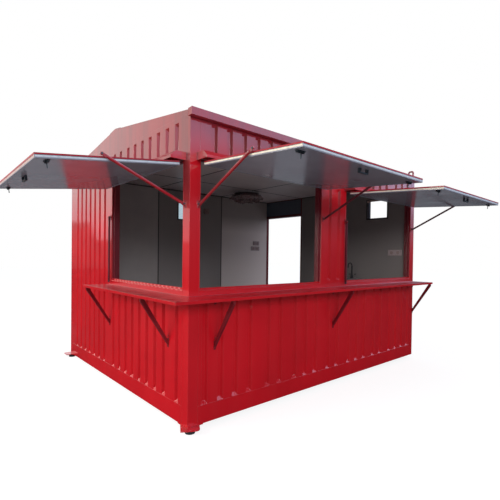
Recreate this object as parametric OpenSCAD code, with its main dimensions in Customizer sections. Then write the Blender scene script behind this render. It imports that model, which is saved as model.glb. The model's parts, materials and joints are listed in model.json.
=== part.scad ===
// Red steel kiosk cabin: two walls of serving hatches held up by struts, a
// counter shelf round the front corner, and a low gable roof.
// Millimetres. +X runs along the front wall, the front faces -Y, +Z is up.
// The origin is on the ground, in the middle of the whole part's outline.

/* [Cabin] */
// Length of the front wall, outside
cabin_w = 4000; // [3700:10:4600]
// Depth of the cabin, outside
cabin_d = 3250; // [3100:10:3600]
// Height of the eaves above the foot of the walls
eave_h = 2700; // [2640:10:2900]
// Rise of the ridge above the eaves
ridge_rise = 220; // [150:5:300]
// Thickness of the outer steel walls
wall_t = 70; // [55:1:75]
// Thickness of the lining boards inside the walls
lining_t = 20; // [10:1:25]
// Side of the square corner posts
post_w = 100; // [96:1:110]
// Height of the plain rail round the foot of the walls
rail_h = 160; // [140:5:190]
// Thickness of the floor deck
deck_t = 28; // [18:1:40]
// Height of the eaves above the ceiling board
ceiling_drop = 80; // [70:5:120]
// Thickness of the ceiling board
ceiling_t = 18; // [10:1:30]
// Depth of the slim post behind the doorway
rear_post_d = 45; // [40:1:60]
// Number of joists under the floor
joists = 7; // [5:1:9]
// Width of the joists
joist_w = 60; // [50:5:80]

/* [Feet] */
// Side of the plate under each corner
foot_plate_w = 165; // [150:5:200]
// How far the left foot plates stand out past the walls
foot_over = 80; // [60:1:90]
// Radius of the outer corner of the left foot plates
foot_round = 40; // [30:5:70]
// How far the front left foot plate is turned on its screw
foot_turn = 60; // [45:1:75]
// How far the right foot plates are set in under the walls
foot_inset = 60; // [30:5:70]
// Thickness of the foot plates
foot_plate_t = 8; // [5:1:15]
// Diameter of the round pads
pad_d = 88; // [60:1:120]
// Height of the round pads
pad_h = 42; // [30:1:70]

/* [Pressed walls] */
// Spacing of the upright grooves
groove_pitch = 172; // [150:1:185]
// Width of a groove at the wall's face
groove_w = 66; // [50:1:80]
// Width of a groove at its floor
groove_floor_w = 34; // [20:1:44]
// Depth of a groove
groove_depth = 24; // [12:1:30]
// Height of the sloped ends of a groove
groove_end_h = 26; // [15:1:40]
// Plain band over the grooves of a wall
groove_top_band = 70; // [50:5:100]

/* [Serving openings] */
// Height of the sills above the foot of the walls
sill_h = 1160; // [1100:5:1200]
// Height of the eaves above the heads of the openings
head_drop = 388; // [370:1:400]
// Width of the pillar between the two front openings
pillar_w = 460; // [380:10:600]
// Width of the opening in the left wall
left_opening_w = 1608; // [1500:1:1700]
// Thickness of the frames that line the openings
frame_lip = 8; // [5:1:12]
// Thickness of their inner half at the sides and sills
frame_step = 24; // [16:1:28]
// Depth of those frames from the wall's face
frame_depth = 56; // [40:1:66]

/* [Hatches] */
// Distance of the hinge pins from the wall's face
hinge_out = 38; // [36:1:44]
// How far the hinge pins lie below the heads of the openings
hinge_drop = 50; // [44:1:56]
// Gap between a closed hatch and the shelf
hatch_foot_gap = 22; // [15:1:40]
// Gap between the hinge pins and the hatch's inner edge
hatch_gap = 16; // [14:1:20]
// Thickness of a hatch below its hinge pins
hatch_below = 26; // [22:1:28]
// Thickness of a hatch above its hinge pins
hatch_above = 9; // [7:1:10]
// Thickness of the ribbed outer skin
hatch_skin_t = 12; // [10:1:14]
// Width of the pressings in that skin
skin_groove_w = 52; // [40:1:60]
// Depth of those pressings
skin_groove_depth = 7; // [4:1:8]
// Width of the plain band round those pressings
skin_plain = 45; // [30:5:60]
// How far the two front hatches hang below level
front_droop = 3.7; // [2:0.1:5]
// How far the left hatch hangs below level
left_droop = 7; // [4:0.5:9]
// Gap from the front hatches to the edges of their openings
front_lap = 6; // [4:1:12]
// Diameter of the hinge pins
hinge_pin_d = 10; // [8:1:12]
// Width of the hinge knuckles
knuckle_w = 50; // [40:1:60]
// Distance of the outer hinges from the side edges of a hatch
hinge_in = 180; // [150:5:220]

/* [Struts] */
// Diameter of the strut tubes
strut_d = 24; // [18:1:26]
// Height of a hanging strut's lower pin above the shelf
strut_foot_gap = 37; // [32:1:60]
// Thickness of the flattened ends
eye_t = 8; // [6:1:10]
// Radius of the flattened ends
eye_r = 13; // [11:1:14]
// Diameter of the pins at the wall
strut_pin_d = 10; // [8:1:12]
// Distance of those pins from the wall's face
strut_out = 24; // [22:1:30]
// How far those pins lie below the hinge pins
strut_drop = 355; // [340:1:370]
// Height of a strut's outer pin above its hatch's skin
strut_over = 16; // [12:1:20]
// Gap between a strut and the edge of its hatch
strut_gap = 6; // [5:1:10]

/* [Shelf] */
// How far the shelf's top lies below the sills
shelf_drop = 40; // [38:1:90]
// How far the shelf stands out from the walls
shelf_out = 300; // [240:5:360]
// Depth of the shelf's folded edge
shelf_t = 25; // [18:1:35]
// Length of the shelf along the left wall
left_shelf_len = 1770; // [1600:10:1850]
// Width of a shelf bracket's bars
bracket_w = 24; // [16:1:32]
// How far the foot of the brackets lies below the shelf's top
bracket_drop = 470; // [380:10:540]

/* [Hoods and gutters] */
// Depth of the flat top of a hood
hood_flat = 100; // [80:5:120]
// How far a hood stands out in all
hood_out = 150; // [135:5:180]
// Height of a hood's top above the head of its opening
hood_rise = 35; // [33:1:44]
// How far a hood's lower edge lies below that head
hood_drop = 32; // [20:1:34]
// Height of the sloping front of a hood
hood_bend = 45; // [30:1:50]
// Thickness of the hood's plates
hood_t = 4; // [3:1:6]
// How far a hood runs past its opening at each end
hood_over = 35; // [20:1:40]
// How far the gutters stand out
gutter_out = 60; // [50:1:80]
// Height of the gutters
gutter_h = 65; // [50:1:80]
// Thickness of the gutters' plates
gutter_t = 4; // [3:1:6]
// How far the gutters run past the side walls
gutter_over = 27; // [10:1:40]

/* [Roof] */
// Thickness of the roof sheets between their ribs
roof_t = 12; // [8:1:20]
// Height of the roof's ribs
roof_rib_h = 16; // [10:1:22]
// Width of the roof's ribs at their foot
roof_rib_w = 48; // [40:2:60]
// Spacing of the roof's ribs
roof_pitch = 240; // [200:10:300]
// Thickness of the gable plates
gable_t = 60; // [50:1:75]
// Width of each side of the ridge cap
ridge_cap_w = 150; // [100:5:220]
// Thickness of the ridge cap
ridge_cap_t = 5; // [3:1:8]
// Height of the lifting loop above the eave
lug_over = 110; // [80:2:140]
// Width of the lifting loop
lug_w = 94; // [80:2:100]
// Diameter of the lifting loop's bar
lug_bar = 26; // [16:1:30]

/* [Doorway and small windows] */
// Width of the doorway in the wall
door_w = 1020; // [940:10:1060]
// How far the doorway's top lies below the eaves
door_drop = 65; // [60:1:90]
// Height of the panel over the door
transom_h = 295; // [240:5:330]
// Height of the bar over the door
transom_bar_h = 40; // [30:1:60]
// Thickness of the door's frame
door_frame_t = 25; // [20:1:35]
// Thickness of the frame's slim back member
door_back_t = 6; // [5:1:12]
// Thickness of the door leaf
door_t = 40; // [30:1:45]
// Gap between the open door leaf and the wall
door_gap = 22; // [16:1:30]
// Width of the small high windows
small_w = 365; // [280:5:380]
// Height of the small high windows
small_h = 304; // [260:2:340]
// How far their heads lie below the eaves
small_drop = 284; // [260:2:330]
// Thickness of their frames
small_frame_t = 8; // [6:1:14]
// Distance of the right small window from the front
right_small_y = 388; // [360:2:560]
// Distance of the back small window from the left wall
back_small_x = 1744; // [1500:2:1950]

/* [Inside] */
// Diameter of the ceiling lamp
lamp_d = 440; // [300:5:520]
// Height of the ceiling lamp
lamp_h = 95; // [60:5:120]
// Distance of the lamp from the left wall
lamp_x = 2700; // [2400:10:2900]
// Distance of the lamp from the front wall
lamp_y = 2430; // [2200:10:2600]
// Length of the sink along the right wall
sink_w = 620; // [500:10:700]
// Depth of the sink from the wall
sink_d = 520; // [450:10:600]
// Height of the sink's rim above the foot of the walls
sink_h = 1125; // [1000:5:1140]
// Distance of the sink from the front wall
sink_y = 715; // [680:5:800]
// Depth of the sink's bowl
bowl_h = 180; // [140:5:220]
// Height of the tap's column
tap_h = 200; // [160:5:240]
// Radius of the bend of the tap's spout
tap_bend = 55; // [40:1:60]
// Width of a double socket plate
socket_w = 162; // [140:2:180]
// Height of the socket plates
socket_side = 88; // [80:1:95]
// Thickness of the socket plates
socket_t = 10; // [6:1:14]
// Height of the lower sockets above the foot of the walls
socket_h = 1592; // [1500:2:1650]
// Side of the small box under the ceiling
box_side = 92; // [80:1:110]

/* [Hidden] */
$fn = 48;
tiny = 1;
// Centres of the front left and the back left foot, in from their corners
turned_foot = [34, 12];
back_foot = [14, 14];
// How far the door's handle stands off its leaf
door_grip = 30;
// Radial clearance of the moving pieces on their pins
pin_play = 0.08;
// Clearance between the roof sheets and the pieces over and beside them
roof_gap = 1;

foot_z = pad_h + foot_plate_t;
roof_edge = roof_t + roof_rib_h;
wall_top = eave_h - roof_edge;
in_t = wall_t + lining_t;
rear_post_y = cabin_d - rear_post_d;

// Heights above the foot of the walls
ceiling_h = eave_h - ceiling_drop;
head_h = eave_h - head_drop;
hinge_h = head_h - hinge_drop;
shelf_h = sill_h - shelf_drop;
strut_h = hinge_h - strut_drop;
hatch_len = hinge_h - shelf_h - hatch_foot_gap;
strut_len = strut_h - shelf_h - strut_foot_gap;
door_top = eave_h - door_drop;
door_h = door_top - door_frame_t - transom_h - transom_bar_h;
small_sill_h = eave_h - small_drop - small_h;
slope = atan(ridge_rise / (cabin_d / 2));

// Edges of the openings along their walls
front_gap_1 = [post_w, (cabin_w - pillar_w) / 2];
front_gap_2 = [(cabin_w + pillar_w) / 2, cabin_w - post_w];
left_gap = [post_w, post_w + left_opening_w];
door_gap_y = [rear_post_y - door_w, rear_post_y];

// Side edges of the hatches, clear of the struts beside them
left_edges = [post_w - 20, left_gap[1] - front_lap];
front_edges = [front_gap_1[0] + front_lap, front_gap_1[1] - front_lap];
side_edges = [front_gap_2[0] + front_lap, front_gap_2[1] - front_lap];
strut_side = strut_gap + strut_d / 2;

// The whole part's outline, for putting the origin in its middle
function reach(droop) = hinge_out + hatch_len * cos(droop)
    + hatch_above * sin(droop);
x_low = -reach(left_droop);
x_high = cabin_w + door_gap + door_t + door_grip;
y_low = -reach(front_droop);
y_high = cabin_d + max(gutter_out, foot_over);
mid = [(x_low + x_high) / 2, (y_low + y_high) / 2];

// Angle of a strut above level when it holds a hatch that droops by droop
catch_w = hatch_above + strut_over;
function catch_q(droop) = [
    hinge_out + catch_w * sin(droop) - strut_out,
    hinge_h + catch_w * cos(droop) - strut_h];
function catch_b(droop) = let (q = catch_q(droop))
    q[0] * cos(droop) - q[1] * sin(droop);
function catch_u(droop) = let (q = catch_q(droop), b = catch_b(droop))
    -b + sqrt(b * b - q[0] * q[0] - q[1] * q[1] + strut_len * strut_len);
function catch_angle(droop) = let (q = catch_q(droop), u = catch_u(droop))
    atan2(q[1] - u * sin(droop), q[0] + u * cos(droop));

red = [0.72, 0.06, 0.09];
dark_red = [0.5, 0.04, 0.06];
grey_board = [0.33, 0.32, 0.33];
pale_metal = [0.8, 0.82, 0.84];
black = [0.05, 0.05, 0.06];

// Places of the grooves: runs of [start, count] along a wall
function run(start, count) = [for (i = [0:count - 1]) start + i * groove_pitch];
function half_runs(middle) = [
    for (g = [[groove_pitch / 2, 1], [325, 3], [895, 2], [1315, 4]])
    each run(middle + g[0], g[1])];
function both_ways(middle) = [for (s = half_runs(middle)) each [s, 2 * middle - s]];
front_grooves = both_ways(cabin_w / 2);
side_grooves = [each run(192, 1), each run(430, 8), each run(1922, 8)];
side_high_grooves = [each run(222, 7), each run(1455, 2)];
front_high_grooves = [each run(250, 8), each run(1710, 2), each run(2150, 7),
    each run(3440, 3)];

// Wall frames: s runs along a wall, n into the cabin, z up from the wall's foot
module place() translate([-mid[0], -mid[1], foot_z]) children();
module on_front() place() children();
module on_left() place() mirror([1, -1, 0]) children();
module on_right() place() translate([cabin_w, 0, 0]) rotate([0, 0, 90]) children();
module on_back() place() translate([0, cabin_d, 0]) mirror([0, 1, 0]) children();

// A plate along a wall: s from s[0] to s[1], n from n[0] to n[1], z likewise
module plate(s, n, z)
    translate([s[0], n[0], z[0]])
    cube([s[1] - s[0], n[1] - n[0], z[1] - z[0]]);

module groove(z0, z1) {
    lean = (groove_w - groove_floor_w) / 2 / groove_depth;
    half_out = groove_w / 2 + lean * tiny;
    half_in = groove_floor_w / 2;
    rise = groove_end_h / groove_depth;
    intersection() {
        translate([0, 0, z0 - tiny * rise])
            linear_extrude(z1 - z0 + 2 * tiny * rise)
            polygon([[-half_out, -tiny], [half_out, -tiny],
                [half_in, groove_depth], [-half_in, groove_depth]]);
        rotate([90, 0, 90])
            translate([0, 0, -groove_w])
            linear_extrude(2 * groove_w)
            polygon([[-tiny, z0 - tiny * rise], [groove_depth, z0 + groove_end_h],
                [groove_depth, z1 - groove_end_h], [-tiny, z1 + tiny * rise]]);
    }
}

// A wall sheet with its grooves, kept clear of the sheet's side edges
module sheet(s, z, groove_z, grooves)
    difference() {
        plate(s, [0, wall_t], z);
        for (g = grooves)
            if (g - groove_w / 2 > s[0] + 8 && g + groove_w / 2 < s[1] - 8)
                translate([g, 0, 0]) groove(groove_z[0], groove_z[1]);
    }

low_groove_z = [rail_h + 4, sill_h - 75];
high_groove_z = [head_h + hood_rise + 13, eave_h - groove_top_band];
tall_groove_z = [rail_h + 4, eave_h - groove_top_band];

module base_frame() color(red) place() {
    for (y = [0, cabin_d - in_t])
        translate([post_w, y, 0]) cube([cabin_w - 2 * post_w, in_t, rail_h]);
    translate([0, post_w, 0]) cube([in_t, cabin_d - 2 * post_w, rail_h]);
    translate([cabin_w - in_t, post_w, 0])
        cube([in_t, rear_post_y - post_w, rail_h]);
    for (i = [1:joists])
        translate([in_t + i * (cabin_w - 2 * in_t) / (joists + 1) - joist_w / 2,
            in_t - tiny, joist_lift])
            cube([joist_w, cabin_d - 2 * in_t + 2 * tiny,
                rail_h - deck_t - joist_lift]);
    foot_plate(foot_over, foot_round, 0, foot_turn, turned_foot);
    at_back() foot_plate(foot_over, foot_round, 0);
    at_right() foot_plate(-foot_inset, foot_round / 3, tongue_in);
    at_right() at_back() foot_plate(-foot_inset, foot_round / 3, tongue_in);
}
joist_lift = 20;

// Corners turned so that +X and +Y run in under the cabin
module at_back() translate([0, cabin_d, 0]) mirror([0, 1, 0]) children();
module at_right() translate([cabin_w, 0, 0]) mirror([1, 0, 0]) children();

// A foot plate with one round corner, and a tongue in under the rails; a
// turned one has its middle at spot
module foot_plate(over, round_r, tongue_start, turn = 0, spot = undef) {
    half = foot_plate_w / 2;
    arc = [for (a = [180:round_step:270]) [cos(a), sin(a)]];
    middle = [round_r - half, round_r - half];
    translate([0, 0, -foot_plate_t]) linear_extrude(foot_plate_t) {
        translate(is_undef(spot) ? [half - over, half - over] : spot) rotate(turn)
            polygon([for (d = arc) middle + round_r * d, [half, -half],
                [half, half], [-half, half]]);
        translate([tongue_start, tongue_start])
            square(post_w + tongue_past - tongue_start);
    }
}
tongue_in = 20;
tongue_past = 60;
round_step = 7.5;

module foot_pads() color(black) place() {
    right_foot = (foot_inset + foot_plate_w / 2) * [1, 1];
    foot_pad(turned_foot);
    at_back() foot_pad(back_foot);
    at_right() foot_pad(right_foot);
    at_right() at_back() foot_pad(right_foot);
}

module foot_pad(spot)
    translate([spot[0], spot[1], -foot_z]) cylinder(d = pad_d, h = pad_h);

module floor_deck() color(grey_board) place()
    translate([in_t, in_t, rail_h - deck_t])
    difference() {
        cube([cabin_w - 2 * in_t, cabin_d - 2 * in_t, deck_t]);
        post_corners(deck_t);
    }

// The parts of the square posts that stand inside the linings
module post_corners(h) {
    c = post_w - in_t;
    for (p = [[0, 0], [cabin_w - 2 * in_t, 0], [0, cabin_d - 2 * in_t]])
        translate([p[0] > 0 ? p[0] - c : -tiny, p[1] > 0 ? p[1] - c : -tiny, -tiny])
            cube([c + tiny, c + tiny, h + 2 * tiny]);
}

module corner_posts() color(red) place() {
    cube([post_w, post_w, wall_top]);
    translate([cabin_w - post_w, 0, 0]) cube([post_w, post_w, wall_top]);
    translate([0, cabin_d - post_w, 0]) cube([post_w, post_w, wall_top]);
    translate([cabin_w - post_w, rear_post_y, 0]) cube([post_w, rear_post_d, wall_top]);
}

// A loop of bent round bar that stands over a corner, for lifting
module lifting_lug() {
    root = 20;
    r = lug_bar / 2;
    bend = lug_bend_r;
    translate([r, 5 + r, eave_h]) {
        for (y = [0, lug_w - lug_bar])
            translate([0, y, -root]) cylinder(r = r, h = root + lug_over - r - bend);
        translate([0, bend, lug_over - r]) rotate([-90, 0, 0])
            cylinder(r = r, h = lug_w - lug_bar - 2 * bend);
        for (back = [0, 1])
            translate([0, back * (lug_w - lug_bar), lug_over - r - bend])
            mirror([0, back, 0]) translate([0, bend, 0]) rotate([0, -90, 0])
            rotate([0, 0, -90]) rotate_extrude(angle = 90)
            translate([bend, 0]) circle(r);
    }
}
lug_bend_r = 24;

module front_lower_wall() color(red) on_front()
    sheet([post_w, cabin_w - post_w], [rail_h, sill_h], low_groove_z, front_grooves);

module front_upper_wall() color(red) on_front()
    sheet([post_w, cabin_w - post_w], [head_h, wall_top], high_groove_z,
        front_high_grooves);

module front_pillar() color(red) on_front()
    sheet([front_gap_1[1], front_gap_2[0]], [sill_h, head_h],
        [sill_h + 40, head_h - 30], front_grooves);

module left_lower_wall() color(red) on_left()
    sheet(left_gap, [rail_h, sill_h], low_groove_z, side_grooves);

module left_upper_wall() color(red) on_left()
    sheet(left_gap, [head_h, wall_top], high_groove_z, side_high_grooves);

module left_rear_wall() color(red) on_left()
    sheet([left_gap[1], cabin_d - post_w], [rail_h, wall_top], tall_groove_z,
        side_grooves);

module small_hole(s) translate([s, -tiny, small_sill_h])
    cube([small_w, in_t + 2 * tiny, small_h]);

// A wall with a small window at hole; grooves in line with it stop short of it
function beside(g, hole) = g + groove_w < hole || g - groove_w > hole + small_w;
module window_wall(s, grooves, hole) difference() {
    sheet(s, [rail_h, wall_top], tall_groove_z,
        [for (g = grooves) if (beside(g, hole)) g]);
    for (g = grooves)
        if (!beside(g, hole)) translate([g, 0, 0]) {
            groove(tall_groove_z[0], small_gap_z[0] - small_band);
            groove(small_gap_z[1] + small_band, tall_groove_z[1]);
        }
    small_hole(hole);
}
small_gap_z = [small_sill_h, small_sill_h + small_h];
small_band = 50;

module right_front_wall() color(red) on_right()
    window_wall([post_w, door_gap_y[0]], side_grooves, right_small_y);

module right_head_rail() color(red) on_right()
    plate(door_gap_y, [0, wall_t], [door_top, wall_top]);

module back_wall() color(red) on_back()
    window_wall([post_w, cabin_w - post_w], front_grooves, back_small_x);

module gable_plates() color(red) place() {
    translate([cabin_w - lug_bar, 0, 0]) lifting_lug();
    for (x = [0, cabin_w - gable_t])
        translate([x, 0, wall_top]) rotate([90, 0, 90]) linear_extrude(gable_t)
            polygon([[0, 0], [cabin_d, 0], [cabin_d, roof_edge],
                [cabin_d / 2, roof_edge + ridge_rise], [0, roof_edge]]);
}

// One roof slope's ribbed outline, across the cabin
module roof_outline() {
    w = cabin_w - 2 * gable_t - 2 * roof_gap;
    foot = roof_rib_w / 2;
    top = roof_rib_w / 4;
    ribs = floor((w - 2 * roof_rib_w) / roof_pitch);
    first = (w - ribs * roof_pitch) / 2;
    polygon([[0, 0], [w, 0], [w, roof_t],
        for (i = [ribs:-1:0]) let (c = first + i * roof_pitch) each
            [[c + foot, roof_t], [c + top, roof_edge], [c - top, roof_edge],
            [c - foot, roof_t]],
        [0, roof_t]]);
}

module roof_slope()
    intersection() {
        rotate([slope, 0, 0]) translate([gable_t + roof_gap, cabin_d, 0])
            rotate([90, 0, 0]) linear_extrude(2 * cabin_d)
            scale([1, cos(slope)]) roof_outline();
        cube([cabin_w, cabin_d / 2, 2 * eave_h]);
    }

module roof_sheets() color(red) place() {
    translate([0, 0, wall_top]) roof_slope();
    translate([0, cabin_d, wall_top]) mirror([0, 1, 0]) roof_slope();
}

module ridge_cap() color(dark_red) place()
    translate([0, 0, eave_h + roof_gap]) rotate([90, 0, 90]) linear_extrude(cabin_w) {
        y1 = cabin_d / 2 - ridge_cap_w;
        z1 = ridge_rise * y1 / (cabin_d / 2);
        polygon([[y1, z1], [cabin_d / 2, ridge_rise], [cabin_d - y1, z1],
            [cabin_d - y1, z1 + ridge_cap_t], [cabin_d / 2, ridge_rise + ridge_cap_t],
            [y1, z1 + ridge_cap_t]]);
    }

module gutters() color(red)
    for (back = [false, true]) place()
        translate([-gutter_over, back ? cabin_d : 0, eave_h - gutter_h])
        mirror([0, back ? 1 : 0, 0]) rotate([90, 0, 90])
        linear_extrude(cabin_w + 2 * gutter_over) union() {
            translate([-gutter_out, 0]) square([gutter_out, gutter_t]);
            translate([-gutter_out, 0]) square([gutter_t, gutter_h]);
            translate([-gutter_t, 0]) square([gutter_t, gutter_h - roof_edge - 2 * roof_gap]);
        }

module ceiling_panel() color(grey_board) place()
    translate([in_t, in_t, ceiling_h]) difference() {
        cube([cabin_w - 2 * in_t, cabin_d - 2 * in_t, ceiling_t]);
        post_corners(ceiling_t);
    }

// A lining board along a wall, with its openings
module lining(end, gaps)
    difference() {
        plate([post_w, end], [wall_t, in_t], [rail_h, wall_top]);
        for (g = gaps)
            plate([g[0], g[1]], [wall_t - tiny, in_t + tiny], [g[2], g[3]]);
    }

module front_lining() color(grey_board) on_front()
    lining(cabin_w - post_w, [
        [front_gap_1[0] - tiny, front_gap_1[1], sill_h, head_h],
        [front_gap_2[0], front_gap_2[1] + tiny, sill_h, head_h]]);
module left_lining() color(grey_board) on_left()
    lining(cabin_d - post_w, [[left_gap[0] - tiny, left_gap[1], sill_h, head_h]]);
module right_lining() color(grey_board) on_right()
    lining(door_gap_y[1], [
        [door_gap_y[0], door_gap_y[1] + tiny, rail_h - tiny, door_top],
        [right_small_y, right_small_y + small_w, small_gap_z[0], small_gap_z[1]]]);
module back_lining() color(grey_board) on_back()
    lining(cabin_w - post_w, [
        [back_small_x, back_small_x + small_w, small_gap_z[0], small_gap_z[1]]]);

// A frame that lines an opening: thin outside, thicker in its inner half
module frame_ring(s) difference() {
    plate(s, [0, frame_depth], [sill_h, head_h]);
    plate([s[0] + frame_lip, s[1] - frame_lip], [-tiny, frame_depth / 2],
        [sill_h + frame_lip, head_h - frame_lip]);
    plate([s[0] + frame_step, s[1] - frame_step], [0, frame_depth + tiny],
        [sill_h + frame_step, head_h - frame_lip]);
}

module opening_frames() color(dark_red) {
    on_front() frame_ring(front_gap_1);
    on_front() frame_ring(front_gap_2);
    on_left() frame_ring(left_gap);
}

// A small window's frame, standing out a little on both sides of the wall
module small_frame(s) difference() {
    plate([s, s + small_w], [-6, in_t + 4], small_gap_z);
    plate([s + small_frame_t, s + small_w - small_frame_t], [-10, in_t + 10],
        [small_gap_z[0] + small_frame_t, small_gap_z[1] - small_frame_t]);
}

module small_window_frames() color(dark_red) {
    on_right() small_frame(right_small_y);
    on_back() small_frame(back_small_x);
}

// A folded hood over an opening: top, sloping front, lip and two end plates
module hood(gap) {
    z1 = head_h + hood_rise;
    z0 = head_h - hood_drop;
    length = gap[1] - gap[0] + 2 * hood_over;
    outer = [[0, z1], [-hood_flat, z1], [-hood_out, z1 - hood_bend],
        [-hood_out, z0], [0, z0]];
    inner = [[tiny, z1 - hood_t], [hood_t / 2 - hood_flat, z1 - hood_t],
        [hood_t - hood_out, z1 - hood_bend - hood_t / 2],
        [hood_t - hood_out, z0 - tiny], [tiny, z0 - tiny]];
    translate([gap[0] - hood_over, 0, 0]) rotate([90, 0, 90]) difference() {
        linear_extrude(length) polygon(outer);
        translate([0, 0, hood_t]) linear_extrude(length - 2 * hood_t) polygon(inner);
    }
}

module drip_hoods() color(red) {
    on_left() hood(left_gap);
    on_front() hood(front_gap_1);
    on_front() hood(front_gap_2);
}

module front_shelf() color(red) place()
    translate([0, 0, shelf_h - shelf_t]) linear_extrude(shelf_t)
    polygon([[0, 0], [cabin_w, 0], [cabin_w, -shelf_out], [-shelf_out, -shelf_out]]);

module left_shelf() color(red) place()
    translate([0, 0, shelf_h - shelf_t]) linear_extrude(shelf_t)
    polygon([[0, 0], [-shelf_out, -shelf_out], [-shelf_out, left_shelf_len],
        [0, left_shelf_len]]);

// A shelf bracket: flat arm under the shelf, upright foot and a slanting bar
module shelf_bracket(s)
    translate([s - bracket_w / 2, 0, 0]) rotate([90, 0, 90])
    linear_extrude(bracket_w) {
        top = shelf_h - shelf_t;
        bracket_foot_h = shelf_h - bracket_drop;
        arm = shelf_out - 22;
        polygon([[0, top], [0, top - 60], [-5, top - 60], [-5, top - 5],
            [-arm, top - 5], [-arm, top]]);
        polygon([[0, bracket_foot_h - 20], [-5, bracket_foot_h - 20],
            [-5, bracket_foot_h], [-arm, top - 30], [-arm, top],
            [-arm + 26, top], [-5, bracket_foot_h + 44], [-5, bracket_foot_h + 60],
            [0, bracket_foot_h + 60]]);
    }

module shelf_brackets() color(dark_red) {
    for (s = [276, cabin_w / 2 + 5, cabin_w - bracket_w / 2])
        on_front() shelf_bracket(s);
    for (s = [342, left_shelf_len - 34])
        on_left() shelf_bracket(s);
}

// Two ears and a pin on a wall plate, for a strut
ear_t = 4;
ear_gap = 0.8;
module strut_bracket(s) {
    ear_in = eye_t / 2 + ear_gap;
    translate([s, 0, strut_h]) {
        plate([-15, 15], [-5, 0], [-32, 32]);
        for (side = [-1, 1])
            translate([side > 0 ? ear_in : -ear_in - ear_t, 0, 0])
            rotate([90, 0, 90]) linear_extrude(ear_t) union() {
                translate([-strut_out, -eye_r]) square([strut_out - 4, 2 * eye_r]);
                translate([-strut_out, 0]) circle(eye_r);
            }
        translate([-ear_in - ear_t - 3, -strut_out, 0]) rotate([0, 90, 0])
            cylinder(d = strut_pin_d, h = 2 * (ear_in + ear_t + 3));
    }
}

// Two hooked ears and a pin, hung from the wall under the hood, for one hinge
knuckle_r = 10;
hinge_ear_t = 8;
hinge_side_gap = 3;
module hinge_bracket(s) {
    ear_in = knuckle_w / 2 + hinge_side_gap;
    root = hinge_drop + 6;
    translate([s, 0, hinge_h]) {
        for (side = [-1, 1])
            translate([side > 0 ? ear_in : -ear_in - hinge_ear_t, 0, 0])
            rotate([90, 0, 90]) linear_extrude(hinge_ear_t) union() {
                translate([-hinge_out, 0]) circle(knuckle_r);
                translate([-hinge_out - knuckle_r, 0])
                    square([2 * knuckle_r, root + 2 * knuckle_r]);
                translate([-hinge_out, root]) square([hinge_out, 2 * knuckle_r]);
            }
        translate([-ear_in - hinge_ear_t - 2, -hinge_out, 0]) rotate([0, 90, 0])
            cylinder(d = hinge_pin_d, h = 2 * (ear_in + hinge_ear_t + 2));
    }
}
function hinge_places(edges) = [edges[0] + hinge_in, (edges[0] + edges[1]) / 2,
    edges[1] - hinge_in];

module hatch_brackets() color(dark_red) {
    on_left() {
        for (s = hinge_places(left_edges)) hinge_bracket(s);
        strut_bracket(left_edges[0] - strut_side);
        strut_bracket(left_edges[1] + strut_side);
    }
    on_front() for (e = [front_edges, side_edges]) {
        for (s = hinge_places(e)) hinge_bracket(s);
        strut_bracket(e[0] - strut_side);
        strut_bracket(e[1] + strut_side);
    }
}

// A hatch frame: u runs out from the hinge pins, w is up when the hatch is open
module hatch_at(droop)
    translate([0, -hinge_out, hinge_h]) rotate([droop, 0, 0])
    mirror([0, 1, 0]) children();

skin_w0 = hatch_above - hatch_skin_t;
module hatch_skin(edges, droop) hatch_at(droop) difference() {
    union() {
        difference() {
            translate([edges[0], hatch_gap, skin_w0])
                cube([edges[1] - edges[0], hatch_len - hatch_gap, hatch_skin_t]);
            for (i = [0:skin_grooves(edges) - 1])
                translate([skin_first(edges) + i * groove_pitch,
                    hatch_gap + skin_plain, hatch_above])
                skin_groove(hatch_len - hatch_gap - 2 * skin_plain);
        }
        for (s = hinge_places(edges)) translate([s - knuckle_w / 2, 0, 0]) {
            rotate([0, 90, 0]) cylinder(r = knuckle_r, h = knuckle_w);
            translate([0, 0, skin_w0]) cube([knuckle_w, hatch_gap + 12, -skin_w0 + 5]);
        }
    }
    for (s = hinge_places(edges)) translate([s - knuckle_w, 0, 0])
        rotate([0, 90, 0]) cylinder(d = hinge_pin_d + 2 * pin_play, h = 2 * knuckle_w);
}
function skin_grooves(edges) = floor((edges[1] - edges[0] - 3 * skin_plain)
    / groove_pitch);
function skin_first(edges) = (edges[0] + edges[1]
    - (skin_grooves(edges) - 1) * groove_pitch) / 2;

// A shallow pressing in a hatch's skin, running out from the hinges
module skin_groove(length) {
    top = skin_groove_w / 2;
    floor_w = skin_groove_w / 2 - 10;
    translate([0, length, 0]) rotate([90, 0, 0]) linear_extrude(length)
        polygon([[-top, tiny], [top, tiny], [floor_w, -skin_groove_depth],
            [-floor_w, -skin_groove_depth]]);
}

// The board under the skin
module hatch_panel(edges, droop) hatch_at(droop)
    translate([edges[0], hatch_gap, -hatch_below])
    cube([edges[1] - edges[0], hatch_len - hatch_gap, skin_w0 + hatch_below]);

// Two bolts by the outer corners and a pull handle, on the hatch's underside
bolt_in = 75;
latch_u = 92;
module hatch_latches(edges, droop) hatch_at(droop)
    translate([0, hatch_len - latch_u, -hatch_below]) {
        for (s = [edges[0] + bolt_in, edges[1] - bolt_in])
            translate([s, 0, 0]) slide_bolt(s < (edges[0] + edges[1]) / 2 ? -1 : 1);
        translate([(edges[0] + edges[1]) / 2, 0, 0]) pull_handle();
    }

module slide_bolt(side) mirror([side < 0 ? 1 : 0, 0, 0]) {
    translate([-45, -14, -5]) cube([80, 28, 5]);
    for (x = [-38, -4, 20]) translate([x, -9, -17]) cube([12, 18, 13]);
    translate([-42, 0, -11]) rotate([0, 90, 0]) cylinder(d = 10, h = 84);
    translate([-16, -3, -52]) cube([8, 6, 44]);
}

module pull_handle() {
    for (x = [-62, 42]) translate([x, -9, -36]) cube([20, 18, 36]);
    translate([-62, -8, -40]) cube([124, 16, 12]);
}

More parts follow.
